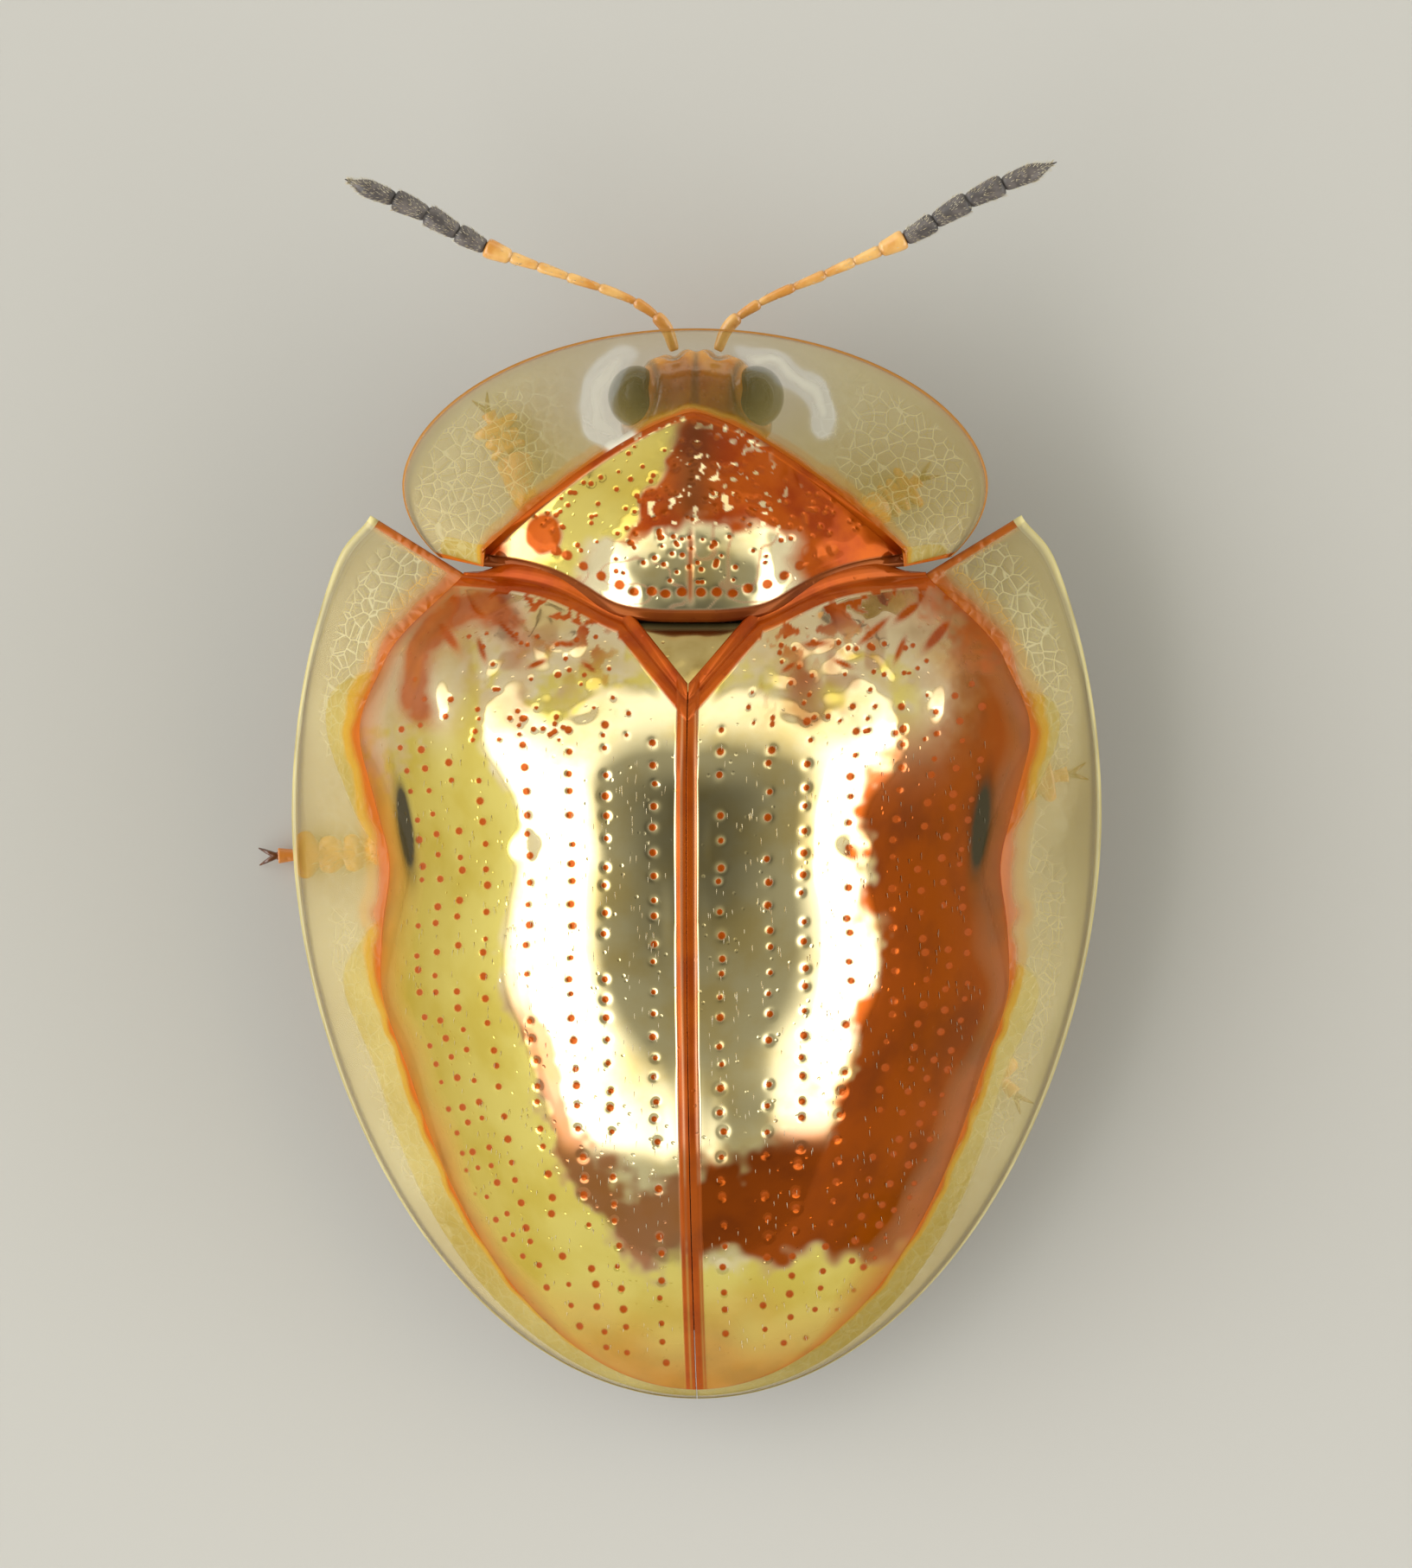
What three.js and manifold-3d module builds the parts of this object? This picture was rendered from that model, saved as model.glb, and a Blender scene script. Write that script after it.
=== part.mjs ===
// A golden tortoise beetle at life size, standing with its feelers spread.
// Units are millimetres. The floor is z = 0, the beetle faces -Y, and its left side is +X.
// Places along the body are measured backwards from the front edge of the pronotum,
// and the group at the end carries them to the origin, below the middle of the whole animal.

import * as THREE from "three";
import { LoftGeometry } from "three/addons/geometries/LoftGeometry.js";
import { mergeVertices } from "three/addons/utils/BufferGeometryUtils.js";
import Module from "manifold-3d";

// Driving dimensions of the whole animal
const BODY_LENGTH = 6.5;
const BODY_WIDTH = 4.92;
const BODY_HEIGHT = 2.75;
const ORIGIN_BACK = 2.73;
const GAP = 0.03;

// Wing cases: a domed disc inside a flat clear margin
const WIDEST_AT = 2.95;
const OUTLINE_FRONT = 3.35;
const OUTLINE_POWER = 1.85;
const CORNER_ROUND = 0.09;
const CORNER_AT = 1.13;
const DISC_HALF = 1.93;
const DISC_BASE_HALF = 1.39;
const DISC_LAST_ANGLE = THREE.MathUtils.degToRad(66);
const DISC_FRONT = 3.1;
const DISC_END = 6.44;
const DISC_SHELL = 0.28;
const MARGIN_SHELL = 0.13;
const SHOULDER_CUT = 0.22;
const SHOULDER_FROM = 1.3;
const SHOULDER_TO = 2;
const BASE_STEP = 0.06;
const BASE_FORWARD = 0.35;
const DOME_POWER = 2.7;
const PEAK_AT = 2.9;
const PEAK_EASE = 0.25;
const FRONT_FALL = 0.72;
const FRONT_FALL_REACH = 1.05;
const FRONT_FALL_POWER = 1.45;
const REAR_FALL_POWER = 2.3;
const EDGE_FALL_POWER = 2.5;
const MARGIN_HOLLOW = 1.4;
const DISC_EDGE_HEIGHT = 0.98;
const DISC_END_HEIGHT = 0.62;
const RIM_HEIGHT = 0.62;
const RIM_END_HEIGHT = 0.5;
const RIM_CORNER_LIFT = 0.12;
const SUTURE_HALF = 0.055;
const SUTURE_FOOT = 0.085;
const SUTURE_RISE = 0.03;

// Where the disc's edge swells or draws in, along the body
const SWELLINGS = [
  { at: 2.4, reach: 0.35, by: 0.13 },
  { at: 3.25, reach: 0.28, by: -0.07 },
  { at: 4.05, reach: 0.32, by: 0.06 },
];

// Bosses and hollows of the disc: the shoulder boss, the hollow behind the base and the one at the waist
const RELIEF = [
  { x: 1.3, y: 2.05, wide: 0.26, long: 0.36, by: 0.1 },
  { x: 0.8, y: 2.15, wide: 0.2, long: 0.22, by: -0.05 },
  { x: 1.25, y: 2.95, wide: 0.3, long: 0.25, by: -0.04 },
];

// Pronotum: the shield over the head, a domed disc inside its own clear margin
const SHIELD_HALF = 1.775;
const SHIELD_WIDEST_AT = 0.95;
const SHIELD_REAR = 0.9;
const SHIELD_CORNER = THREE.MathUtils.degToRad(119);
const SHIELD_DISC_HALF = 1.28;
const SHIELD_DISC_FRONT = 0.51;
const SHIELD_DISC_SWEEP = 0.6;
const SHIELD_DISC_SWEEP_POWER = 1.4;
const SHIELD_SHELL = 0.22;
const SHIELD_FRONT_HEIGHT = 1.2;
const SHIELD_FRONT_LIFT = 0.04;
const SHIELD_HIND_LIFT = 0.04;
const SHIELD_DOME_POWER = 0.9;
const SHIELD_RIM_HEIGHT = 0.92;
const HIND_MARGIN_SIDE = 1.38;
const HIND_MARGIN_BULGE = 0.41;
const HIND_MARGIN_REACH = 0.7;

// Scutellum: the small triangle between the wing cases
const SCUTELLUM_HALF = 0.36;
const SCUTELLUM_TIP = 2.226;
const SCUTELLUM_SHELL = 0.2;
const SCUTELLUM_SINK = 0.02;

// Underside
const BELLY_HEIGHT = 0.55;
const BELLY_SIDE_HEIGHT = 0.72;
const TRUNK_EDGE = 0.08;
const BELLY_WIDTH_SHARE = 0.93;
const UNDER_SHELL = 0.1;
const WAIST_AT = 3.3;
const TAIL_AT = 6.08;
const CHEST_AT = 1.56;
const NECK_AT = 0.74;
const NECK_HALF = 0.5;
const PROTHORAX_HALF = 0.98;
const CHEST_HALF = 1.2;
const THORAX_HALF = 1.9;
const TAIL_TAPER = 0.6;
const CHEST_DROP = 0.5;
const STERNITES = 5;
const STERNITE_RINGS = [0, 0.14, 0.5, 0.88];
const FURROW_DEPTH = 0.03;

// Head
const HEAD_AT = new THREE.Vector3(0, 0.5, 0.62);
const HEAD_SIZE = new THREE.Vector3(0.46, 0.37, 0.3);
const EYE_AT = new THREE.Vector3(0.36, 0.41, 0.7);
const EYE_SIZE = new THREE.Vector3(0.175, 0.19, 0.2);
const LABRUM_AT = new THREE.Vector3(0, 0.25, 0.4);
const LABRUM_SIZE = new THREE.Vector3(0.13, 0.06, 0.08);
const MANDIBLE_AT = new THREE.Vector3(0.08, 0.37, 0.33);
const MANDIBLE_SIZE = new THREE.Vector3(0.06, 0.07, 0.09);
const PALP_AT = new THREE.Vector3(0.21, 0.42, 0.32);
const PALP_SIZE = new THREE.Vector3(0.045, 0.06, 0.1);

// Feelers, as places along each one: x runs outwards from the middle and y backwards.
// Six beads and a widened joint make the shaft, and four beads the club.
const FEELER_HEIGHT = 0.68;
const FEELER_LIFT = 0.1;
const SHAFT_BEADS = 6;
const SHAFT_RADIUS = 0.04;
const SHAFT_SWELL = 0.012;
const SHAFT_END_SWELL = 0.02;
const CLUB_START = 4;
const CLUB_BEADS = 4;
const CLUB_RADIUS = 0.056;
const CLUB_SWELL = 0.026;
const CLUB_TAPER = 0.6;
const FEELERS = {
  left: {
    side: 1,
    root: [[0.13, 0.13], [0.19, -0.02], [0.35, -0.155]],
    reach: [[0.81, -0.33], [1.28, -0.5], [1.7, -0.73], [2.13, -0.91]],
  },
  right: {
    side: -1,
    root: [[0.13, 0.13], [0.2, -0.02], [0.39, -0.16]],
    reach: [[0.8, -0.34], [1.27, -0.55], [1.7, -0.8], [2.19, -1.01]],
  },
};

// The six legs, as places along each limb: hip, thigh root, knee, ankle and toe tip
const HIP_HEIGHT = 0.44;
const THIGH_HEIGHT = 0.38;
const KNEE_HEIGHT = 0.4;
const ANKLE_HEIGHT = 0.09;
const TOE_HEIGHT = 0.065;
const LEGS = {
  left_front: { side: 1, plan: [[0.3, 1.25], [0.55, 1.24], [1, 1.08], [1.14, 0.77], [1.29, 0.49]] },
  right_front: { side: -1, plan: [[0.3, 1.25], [0.55, 1.24], [0.88, 1.19], [1.12, 1.06], [1.35, 0.9]] },
  left_middle: { side: 1, plan: [[0.36, 2.55], [0.66, 2.62], [1.42, 2.98], [2.02, 3.17], [2.58, 3.2]] },
  right_middle: { side: -1, plan: [[0.36, 2.55], [0.66, 2.58], [1.36, 2.72], [1.82, 2.77], [2.26, 2.7]] },
  left_hind: { side: 1, plan: [[0.34, 3.02], [0.6, 3.16], [1.24, 3.78], [1.54, 4.24], [1.8, 4.7]] },
  right_hind: { side: -1, plan: [[0.34, 3.02], [0.6, 3.16], [1.28, 3.7], [1.6, 4.26], [1.93, 4.66]] },
};

// Half thicknesses of a leg: at the hip's root and end, then the thigh and the shin
const HIP_ROOT = 0.17;
const HIP_ROOT_HIGH = 0.16;
const HIP_END = 0.13;
const THIGH = 0.115;
const THIGH_SWELL = 0.06;
const SHIN_WIDE = 0.085;
const SHIN_WIDENING = 0.035;
const SHIN_HIGH = 0.08;
const SHIN_HEIGHTENING = 0.02;

// Foot: three padded joints, then a narrow joint that holds two spread claws
const FOOT_PADS = 3;
const PADS_SHARE = 0.8;
const PAD_WIDE = 0.075;
const PAD_SWELL = 0.045;
const PAD_STEP = 0.012;
const PAD_HIGH = 0.085;
const PAD_FLATTENING = 0.02;
const CLAW_JOINT = 0.045;
const CLAW_SPREAD = 0.45;
const CLAW_ROOT = 0.03;
const CLAW_BEND = { out: 0.06, height: 0.07 };
const CLAW_END = { out: 0.12, height: 0.03 };
const CLAW_RADIUS = 0.024;
const CLAW_TIP_RADIUS = 0.01;

const wasm = await Module();
wasm.setup();

const { lerp, clamp, smoothstep } = THREE.MathUtils;
const point = (x, y, z) => new THREE.Vector3(x, y, z);
const bell = (value, centre, width) => Math.exp(-(((value - centre) / width) ** 2));
const steps = (count) => Array.from({ length: count + 1 }, (_, i) => i / count);

const finish = (color, roughness, metalness = 0) =>
  new THREE.MeshStandardMaterial({ color, roughness, metalness });
const GOLD = finish("#b3962c", 0.22, 0.9);
const CLEAR = finish("#d9cf9c", 0.12);
const AMBER = finish("#b5521c", 0.25);
const LEG = finish("#c9702c", 0.4);
const BELLY = finish("#3a2415", 0.35);
const DARK = finish("#2b2a2c", 0.3);

// Outline of the wing cases at an angle: 0 at the widest place, a right angle at the tip.
function elytraOutline(angle) {
  const x = (BODY_WIDTH / 2) * Math.cos(angle);
  if (angle >= 0) {
    const back = Math.sin(angle) ** (2 / OUTLINE_POWER);
    return { x, y: WIDEST_AT + (BODY_LENGTH - WIDEST_AT) * back };
  }
  const y = WIDEST_AT - OUTLINE_FRONT * Math.sin(-angle);
  return { x: x - CORNER_ROUND * bell(y, CORNER_AT, 0.14), y };
}

// Half the width of the domed disc, which swells at the shoulder and again behind the middle,
// and is rounded off in front of the shoulder.
function discHalfWidth(y) {
  const reach = y > WIDEST_AT ? DISC_END - WIDEST_AT : DISC_FRONT;
  const u = Math.min(1, Math.abs(y - WIDEST_AT) / reach);
  const swelling = SWELLINGS.reduce((sum, s) => sum + s.by * bell(y, s.at, s.reach), 0);
  const cut = SHOULDER_CUT * (1 - smoothstep(y, SHOULDER_FROM, SHOULDER_TO));
  return (DISC_HALF * Math.sqrt(1 - u * u) + swelling * (1 - u ** 6)) * (1 - cut);
}

// Edge of the disc at an angle, moved outwards by grow.
function discOutline(angle, grow = 0) {
  const reach = angle > 0 ? DISC_END - WIDEST_AT : DISC_FRONT;
  const y = WIDEST_AT + reach * Math.sin(angle);
  return { x: discHalfWidth(y) + grow * Math.cos(angle), y: y + grow * Math.max(0, Math.sin(angle)) };
}

// Hind margin of the pronotum, as a place along the body.
const hindMargin = (x) => HIND_MARGIN_SIDE + HIND_MARGIN_BULGE / (1 + (x / HIND_MARGIN_REACH) ** 4);

// Front edge of the wing cases: round the scutellum, then behind the pronotum, then forward at the shoulder.
function baseLine(x) {
  const slope = (SCUTELLUM_TIP - hindMargin(0)) / SCUTELLUM_HALF;
  const notch = SCUTELLUM_TIP + GAP * Math.hypot(1, slope) - slope * x;
  const edge = hindMargin(x) + GAP + BASE_STEP * smoothstep(x, 0.3, 1.3);
  return Math.max(notch, edge - BASE_FORWARD * smoothstep(x, 1.5, 2));
}

const DISC_BASE_ANGLE = -Math.asin((WIDEST_AT - baseLine(DISC_BASE_HALF)) / DISC_FRONT);

// Height of the wing cases along the suture.
function midlineHeight(y) {
  const top = BODY_HEIGHT - SUTURE_RISE;
  if (y < PEAK_AT) {
    const ahead = Math.hypot((PEAK_AT - y) / FRONT_FALL_REACH, PEAK_EASE) - PEAK_EASE;
    return top - FRONT_FALL * (ahead / (Math.hypot(1, PEAK_EASE) - PEAK_EASE)) ** FRONT_FALL_POWER;
  }
  const u = Math.min(1, (y - PEAK_AT) / (DISC_END - PEAK_AT));
  return DISC_END_HEIGHT + (top - DISC_END_HEIGHT) * (1 - u ** REAR_FALL_POWER);
}

// Height of the disc's edge, lower towards the tip.
function discEdgeHeight(y) {
  const back = clamp((y - WIDEST_AT) / (DISC_END - WIDEST_AT), 0, 1);
  return lerp(DISC_EDGE_HEIGHT, DISC_END_HEIGHT, back ** EDGE_FALL_POWER);
}

// Height of the outer rim, lowest at the tip and lifted at the shoulder.
function rimHeight(y) {
  const back = clamp((y - WIDEST_AT) / (BODY_LENGTH - WIDEST_AT), 0, 1);
  const forward = clamp((WIDEST_AT - y) / (WIDEST_AT - CORNER_AT), 0, 1);
  return lerp(RIM_HEIGHT, RIM_END_HEIGHT, back ** 2) + RIM_CORNER_LIFT * forward ** 2;
}

// Height of the disc: a dome with its bosses and hollows, and a raised suture.
function elytraHeight(x, y) {
  const out = Math.abs(x);
  const u = Math.min(1, out / Math.max(discHalfWidth(y), 0.05));
  const edge = discEdgeHeight(y);
  const dome = edge + (midlineHeight(y) - edge) * (1 - u ** DOME_POWER);
  const relief = RELIEF.reduce((sum, r) => sum + r.by * bell(out, r.x, r.wide) * bell(y, r.y, r.long), 0);
  const suture = SUTURE_RISE * (1 - smoothstep(out, SUTURE_HALF, SUTURE_FOOT));
  return dome + relief + suture;
}

// Heights of the pronotum: along the front edge of its disc, along its hind margin, and between.
const shieldDiscFront = (x) => SHIELD_DISC_FRONT + SHIELD_DISC_SWEEP * Math.abs(x) ** SHIELD_DISC_SWEEP_POWER;
const shieldFrontHeight = (x) => SHIELD_FRONT_HEIGHT + SHIELD_FRONT_LIFT * (x / SHIELD_DISC_HALF) ** 2;
const shieldHindHeight = (x) => elytraHeight(x, hindMargin(x)) + SHIELD_HIND_LIFT;

function shieldHeight(x, y) {
  const v = clamp((y - shieldDiscFront(x)) / (hindMargin(x) - shieldDiscFront(x)), 0, 1);
  return lerp(shieldFrontHeight(x), shieldHindHeight(x), Math.sin((v * Math.PI) / 2) ** SHIELD_DOME_POWER);
}

// Outline of the pronotum at an angle, 0 at its front.
function shieldOutline(angle) {
  const x = SHIELD_HALF * Math.sin(angle);
  const lean = Math.cos(angle);
  if (lean >= 0) return { x, y: SHIELD_WIDEST_AT * (1 - lean ** (2 / OUTLINE_POWER)) };
  return { x, y: SHIELD_WIDEST_AT - SHIELD_REAR * lean };
}

// A closed body through rings of points that follow each other, capped at both ends.
// side = -1 makes the mirror image for the beetle's right.
function loft(rings, side = 1) {
  const mirrored = (ring) => ring.map((p) => point(-p.x, p.y, p.z)).reverse();
  const sections = side > 0 ? rings : rings.map(mirrored);
  return new LoftGeometry(sections, { capStart: true, capEnd: true });
}

// A ring round a plate: its top points in order, then the same points lowered by its thickness.
function plateRing(top, thickness) {
  const under = top.map((p) => point(p.x, p.y, p.z - thickness)).reverse();
  return [...top, ...under];
}

// A geometry as a solid that can be joined and cut.
function solidOf(geometry) {
  const bare = new THREE.BufferGeometry();
  bare.setAttribute("position", geometry.getAttribute("position"));
  bare.setIndex(geometry.index);
  const merged = mergeVertices(bare, 1e-4);
  const vertProperties = merged.attributes.position.array;
  const triVerts = new Uint32Array(merged.index.array);
  return new wasm.Manifold(new wasm.Mesh({ numProp: 3, vertProperties, triVerts }));
}

// The largest closed surface of a solid, as a geometry.
function geometryOf(solid) {
  const largest = solid.decompose().sort((a, b) => b.volume() - a.volume())[0];
  const mesh = largest.getMesh();
  const geometry = new THREE.BufferGeometry();
  geometry.setAttribute("position", new THREE.BufferAttribute(mesh.vertProperties, 3));
  geometry.setIndex(new THREE.BufferAttribute(mesh.triVerts, 1));
  geometry.computeVertexNormals();
  return geometry;
}

// An ellipsoid of three half sizes, grown by an even amount.
function ellipsoid(centre, size, grow = 0, around = 18, down = 11) {
  const geometry = new THREE.SphereGeometry(1, around, down);
  geometry.scale(size.x + grow, size.y + grow, size.z + grow);
  return geometry.translate(centre.x, centre.y, centre.z);
}

// Wing case disc: rows run from the suture to the disc's edge, and follow each other to the tip.
function elytronDisc(side) {
  const rows = 24;
  const columns = 10;
  const first = discOutline(DISC_BASE_ANGLE);
  const last = discOutline(DISC_LAST_ANGLE);
  const inner = [GAP / 2, SUTURE_HALF, SUTURE_FOOT];
  const across = (width) => [
    ...inner,
    ...steps(columns).slice(1).map((s) => lerp(SUTURE_FOOT, width, 1 - (1 - s) ** 1.35)),
  ];
  const tipArc = (x) => WIDEST_AT + (DISC_END - WIDEST_AT) * Math.sqrt(1 - (x / DISC_HALF) ** 2);
  const starts = across(first.x).map((x) => baseLine(x));
  const ends = across(last.x).map((x) => Math.min(tipArc(x), last.y + (1 - x / last.x)));
  const rings = steps(rows).map((t) => {
    const edge = discOutline(lerp(DISC_BASE_ANGLE, DISC_LAST_ANGLE, t));
    const along = (edge.y - first.y) / (last.y - first.y);
    const top = across(edge.x).map((x, i) => {
      const y = lerp(starts[i], ends[i], along);
      return point(x, y, elytraHeight(x, y));
    });
    return plateRing(top, DISC_SHELL);
  });
  return loft(rings, side);
}

// Clear margin of a wing case, hollowed between the disc's edge and the rim.
function elytronMargin(side) {
  const firstOuter = -Math.asin((WIDEST_AT - CORNER_AT) / OUTLINE_FRONT);
  const rings = steps(32).map((t) => {
    const inner = discOutline(lerp(DISC_BASE_ANGLE, Math.PI / 2, t), GAP);
    const outer = elytraOutline(lerp(firstOuter, Math.PI / 2, t));
    const high = discEdgeHeight(inner.y);
    const low = rimHeight(outer.y);
    const top = steps(3).map((v) => {
      const x = Math.max(GAP / 2, lerp(inner.x, outer.x, v));
      return point(x, lerp(inner.y, outer.y, v), low + (high - low) * (1 - v) ** MARGIN_HOLLOW);
    });
    return plateRing(top, MARGIN_SHELL);
  });
  return loft(rings, side);
}

// Scutellum: a plate that narrows backwards to its tip, sunk a little between the wing cases.
function scutellum() {
  const front = hindMargin(0) + GAP;
  const rings = steps(6).map((t) => {
    const y = lerp(front, SCUTELLUM_TIP - GAP, t);
    const half = (SCUTELLUM_HALF * (SCUTELLUM_TIP - y)) / (SCUTELLUM_TIP - hindMargin(0));
    const top = [-1, -0.6, -0.2, 0.2, 0.6, 1].map((s) => {
      const x = s * half;
      return point(x, y, elytraHeight(x + 0.2, y) - SCUTELLUM_SINK * (1 - s * s));
    });
    return plateRing(top, SCUTELLUM_SHELL);
  });
  return loft(rings);
}

// Domed disc of the pronotum, from its hind margin forwards.
function shieldDisc() {
  const rings = steps(22).map((t) => {
    const x = SHIELD_DISC_HALF * Math.sin(Math.PI * (t - 0.5));
    const top = steps(6).map((v) => {
      const y = lerp(hindMargin(x), shieldDiscFront(x), v);
      return point(x, y, shieldHeight(x, y));
    });
    return plateRing(top, SHIELD_SHELL);
  });
  return loft(rings);
}

// Clear margin of the pronotum, from one hind corner round the front to the other.
function shieldMargin() {
  const rings = steps(36).map((t) => {
    const share = 2 * t - 1;
    const outer = shieldOutline(share * SHIELD_CORNER);
    const innerX = (SHIELD_DISC_HALF + GAP) * Math.sin((share * Math.PI) / 2);
    const innerY = shieldDiscFront(innerX * 0.98) - GAP * (1 - share ** 6);
    const high = shieldFrontHeight(innerX);
    const top = steps(3).map((v) => {
      const z = SHIELD_RIM_HEIGHT + (high - SHIELD_RIM_HEIGHT) * (1 - v) ** MARGIN_HOLLOW;
      return point(lerp(innerX, outer.x, v), lerp(innerY, outer.y, v), z);
    });
    return plateRing(top, MARGIN_SHELL);
  });
  return loft(rings);
}

// A length of the trunk under the shells. The roof is the height under the shells at a place,
// halfWidth the trunk's half width along the body, and groove the depth of a cross furrow below.
function trunk(places, halfWidth, roof, groove) {
  const across = [-1, -0.86, -0.6, -0.3, 0, 0.3, 0.6, 0.86, 1];
  const rings = places.map((y) => {
    const half = halfWidth(y);
    const top = across.map((s) => point(s * half, y, roof(s * half, y)));
    const sideHeight = Math.min(BELLY_SIDE_HEIGHT, top[0].z - TRUNK_EDGE);
    const under = across.map((s) => {
      const z = lerp(BELLY_HEIGHT, sideHeight, Math.abs(s) ** 2.2);
      return point(s * half, y, z + groove(y));
    });
    return [...top, ...under.reverse()];
  });
  return loft(rings);
}

const underElytra = (x, y) => elytraHeight(x, y) - SUTURE_RISE - DISC_SHELL - UNDER_SHELL;
const trunkHalfWidth = (y) => BELLY_WIDTH_SHARE * discHalfWidth(y);

// Abdomen: five belly plates with a furrow in front of each but the first.
function abdomen() {
  const front = WAIST_AT + GAP;
  const pitch = (TAIL_AT - front) / STERNITES;
  const places = [];
  for (let plate = 0; plate < STERNITES; plate += 1) {
    for (const share of STERNITE_RINGS) places.push(front + (plate + share) * pitch);
  }
  places.push(TAIL_AT);
  const furrow = (y) => {
    const share = ((y - front) / pitch) % 1;
    return y > front && y < TAIL_AT && share < 0.01 ? FURROW_DEPTH : 0;
  };
  const taper = (y) => Math.sqrt(1 - TAIL_TAPER * ((y - front) / (TAIL_AT - front)) ** 5);
  const halfWidth = (y) => trunkHalfWidth(y) * taper(y);
  return trunk(places, halfWidth, underElytra, furrow);
}

function thorax() {
  const places = steps(10).map((t) => lerp(CHEST_AT, WAIST_AT, t));
  const roof = (x, y) => Math.min(underElytra(x, y), shieldHindHeight(0) - CHEST_DROP);
  const widening = (y) => lerp(CHEST_HALF, THORAX_HALF, (y - CHEST_AT) / 0.5);
  const halfWidth = (y) => Math.min(trunkHalfWidth(y), widening(y));
  return trunk(places, halfWidth, roof, () => 0);
}

function prothorax() {
  const places = steps(6).map((t) => lerp(NECK_AT, CHEST_AT - GAP, t));
  const roof = (x, y) => {
    const place = Math.min(y, hindMargin(x) - 0.02);
    return shieldHeight(x, place) - SHIELD_SHELL - UNDER_SHELL;
  };
  const halfWidth = (y) => lerp(NECK_HALF, PROTHORAX_HALF, smoothstep(y, NECK_AT, 1.3));
  const body = trunk(places, halfWidth, roof, () => 0);
  return geometryOf(solidOf(body).subtract(solidOf(ellipsoid(HEAD_AT, HEAD_SIZE, GAP))));
}

// A place on the beetle's left, or its mirror image for side = -1.
const beside = (place, side) => point(side * place.x, place.y, place.z);

const eye = (side, grow = 0) => ellipsoid(beside(EYE_AT, side), EYE_SIZE, grow, 16, 10);

function head() {
  const whole = solidOf(ellipsoid(HEAD_AT, HEAD_SIZE));
  return geometryOf(whole.subtract(solidOf(eye(1, GAP))).subtract(solidOf(eye(-1, GAP))));
}

// A mouth part: a small rounded body cut clear of the head that it grows from.
function mouthPart(centre, size) {
  const body = solidOf(ellipsoid(centre, size, 0, 12, 8));
  return geometryOf(body.subtract(solidOf(ellipsoid(HEAD_AT, HEAD_SIZE, GAP))));
}

// A stretch of a limb between two shares of its curve. The profile gives its half width and half
// height at a share of the stretch, and nothing reaches below the floor.
function stretch(curve, from, to, rings, sides, profile) {
  const sections = steps(rings).map((v) => {
    const share = lerp(from, to, v);
    const centre = curve.getPointAt(share);
    const along = curve.getTangentAt(share);
    const across = point(0, 0, 1).cross(along).normalize();
    const up = along.clone().cross(across);
    const [halfWidth, halfHeight] = profile(v);
    return steps(sides).slice(0, sides).map((s) => {
      const turn = 2 * Math.PI * (s + 0.5 / sides);
      const place = centre.clone();
      place.addScaledVector(across, halfWidth * Math.cos(turn));
      place.addScaledVector(up, halfHeight * Math.sin(turn));
      place.z = Math.max(0, place.z);
      return place;
    });
  });
  return loft(sections);
}

// Shares of a curve's length at which it passes its own points.
function sharesOf(curve) {
  const fine = 400;
  const lengths = curve.getLengths(fine);
  const last = curve.points.length - 1;
  return curve.points.map((_, i) => lengths[Math.round((fine * i) / last)] / lengths[fine]);
}

// Middle line of a leg.
function legCurve({ side, plan }) {
  const heights = [HIP_HEIGHT, THIGH_HEIGHT, KNEE_HEIGHT, ANKLE_HEIGHT, TOE_HEIGHT];
  const points = plan.map(([x, y], i) => point(side * x, y, heights[i]));
  return new THREE.CatmullRomCurve3(points, false, "centripetal");
}

const hipProfile = (v) => [lerp(HIP_ROOT, HIP_END, v), lerp(HIP_ROOT_HIGH, HIP_END, v)];
const thighProfile = (v) => {
  const swell = THIGH + THIGH_SWELL * Math.sin(Math.PI * v ** 0.85);
  return [swell, swell * 0.95];
};
const shinProfile = (v) => [SHIN_WIDE + SHIN_WIDENING * v, SHIN_HIGH + SHIN_HEIGHTENING * v];

// The foot: padded joints that widen forwards, then the narrow claw joint.
function footProfile(v) {
  if (v > PADS_SHARE) return [CLAW_JOINT, CLAW_JOINT];
  const pad = (v / PADS_SHARE) * FOOT_PADS;
  const swell = PAD_SWELL * Math.sin((pad % 1) * Math.PI * 0.8);
  const step = PAD_STEP * Math.min(Math.floor(pad), FOOT_PADS - 1);
  return [PAD_WIDE + swell + step, PAD_HIGH - PAD_FLATTENING * v];
}

// A hooked claw that leaves the foot's tip at an angle to the foot.
function claw(tip, along, spread) {
  const aim = along.clone().applyAxisAngle(point(0, 0, 1), spread);
  const root = tip.clone().addScaledVector(aim, -CLAW_ROOT);
  const bend = tip.clone().addScaledVector(aim, CLAW_BEND.out).setZ(CLAW_BEND.height);
  const end = tip.clone().addScaledVector(aim, CLAW_END.out).setZ(CLAW_END.height);
  const curve = new THREE.CatmullRomCurve3([root, bend, end]);
  const radius = (v) => lerp(CLAW_RADIUS, CLAW_TIP_RADIUS, v);
  return stretch(curve, 0, 1, 3, 5, (v) => [radius(v), radius(v)]);
}

// A whole foot with its two claws, as one body.
function foot(curve, from) {
  const body = solidOf(stretch(curve, from, 1, 12, 8, footProfile));
  const tip = curve.getPointAt(1);
  const along = curve.getTangentAt(1);
  const claws = [CLAW_SPREAD, -CLAW_SPREAD].map((spread) => solidOf(claw(tip, along, spread)));
  return geometryOf(body.add(claws[0]).add(claws[1]));
}

const beetle = new THREE.Group();
beetle.position.y = -ORIGIN_BACK;

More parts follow.
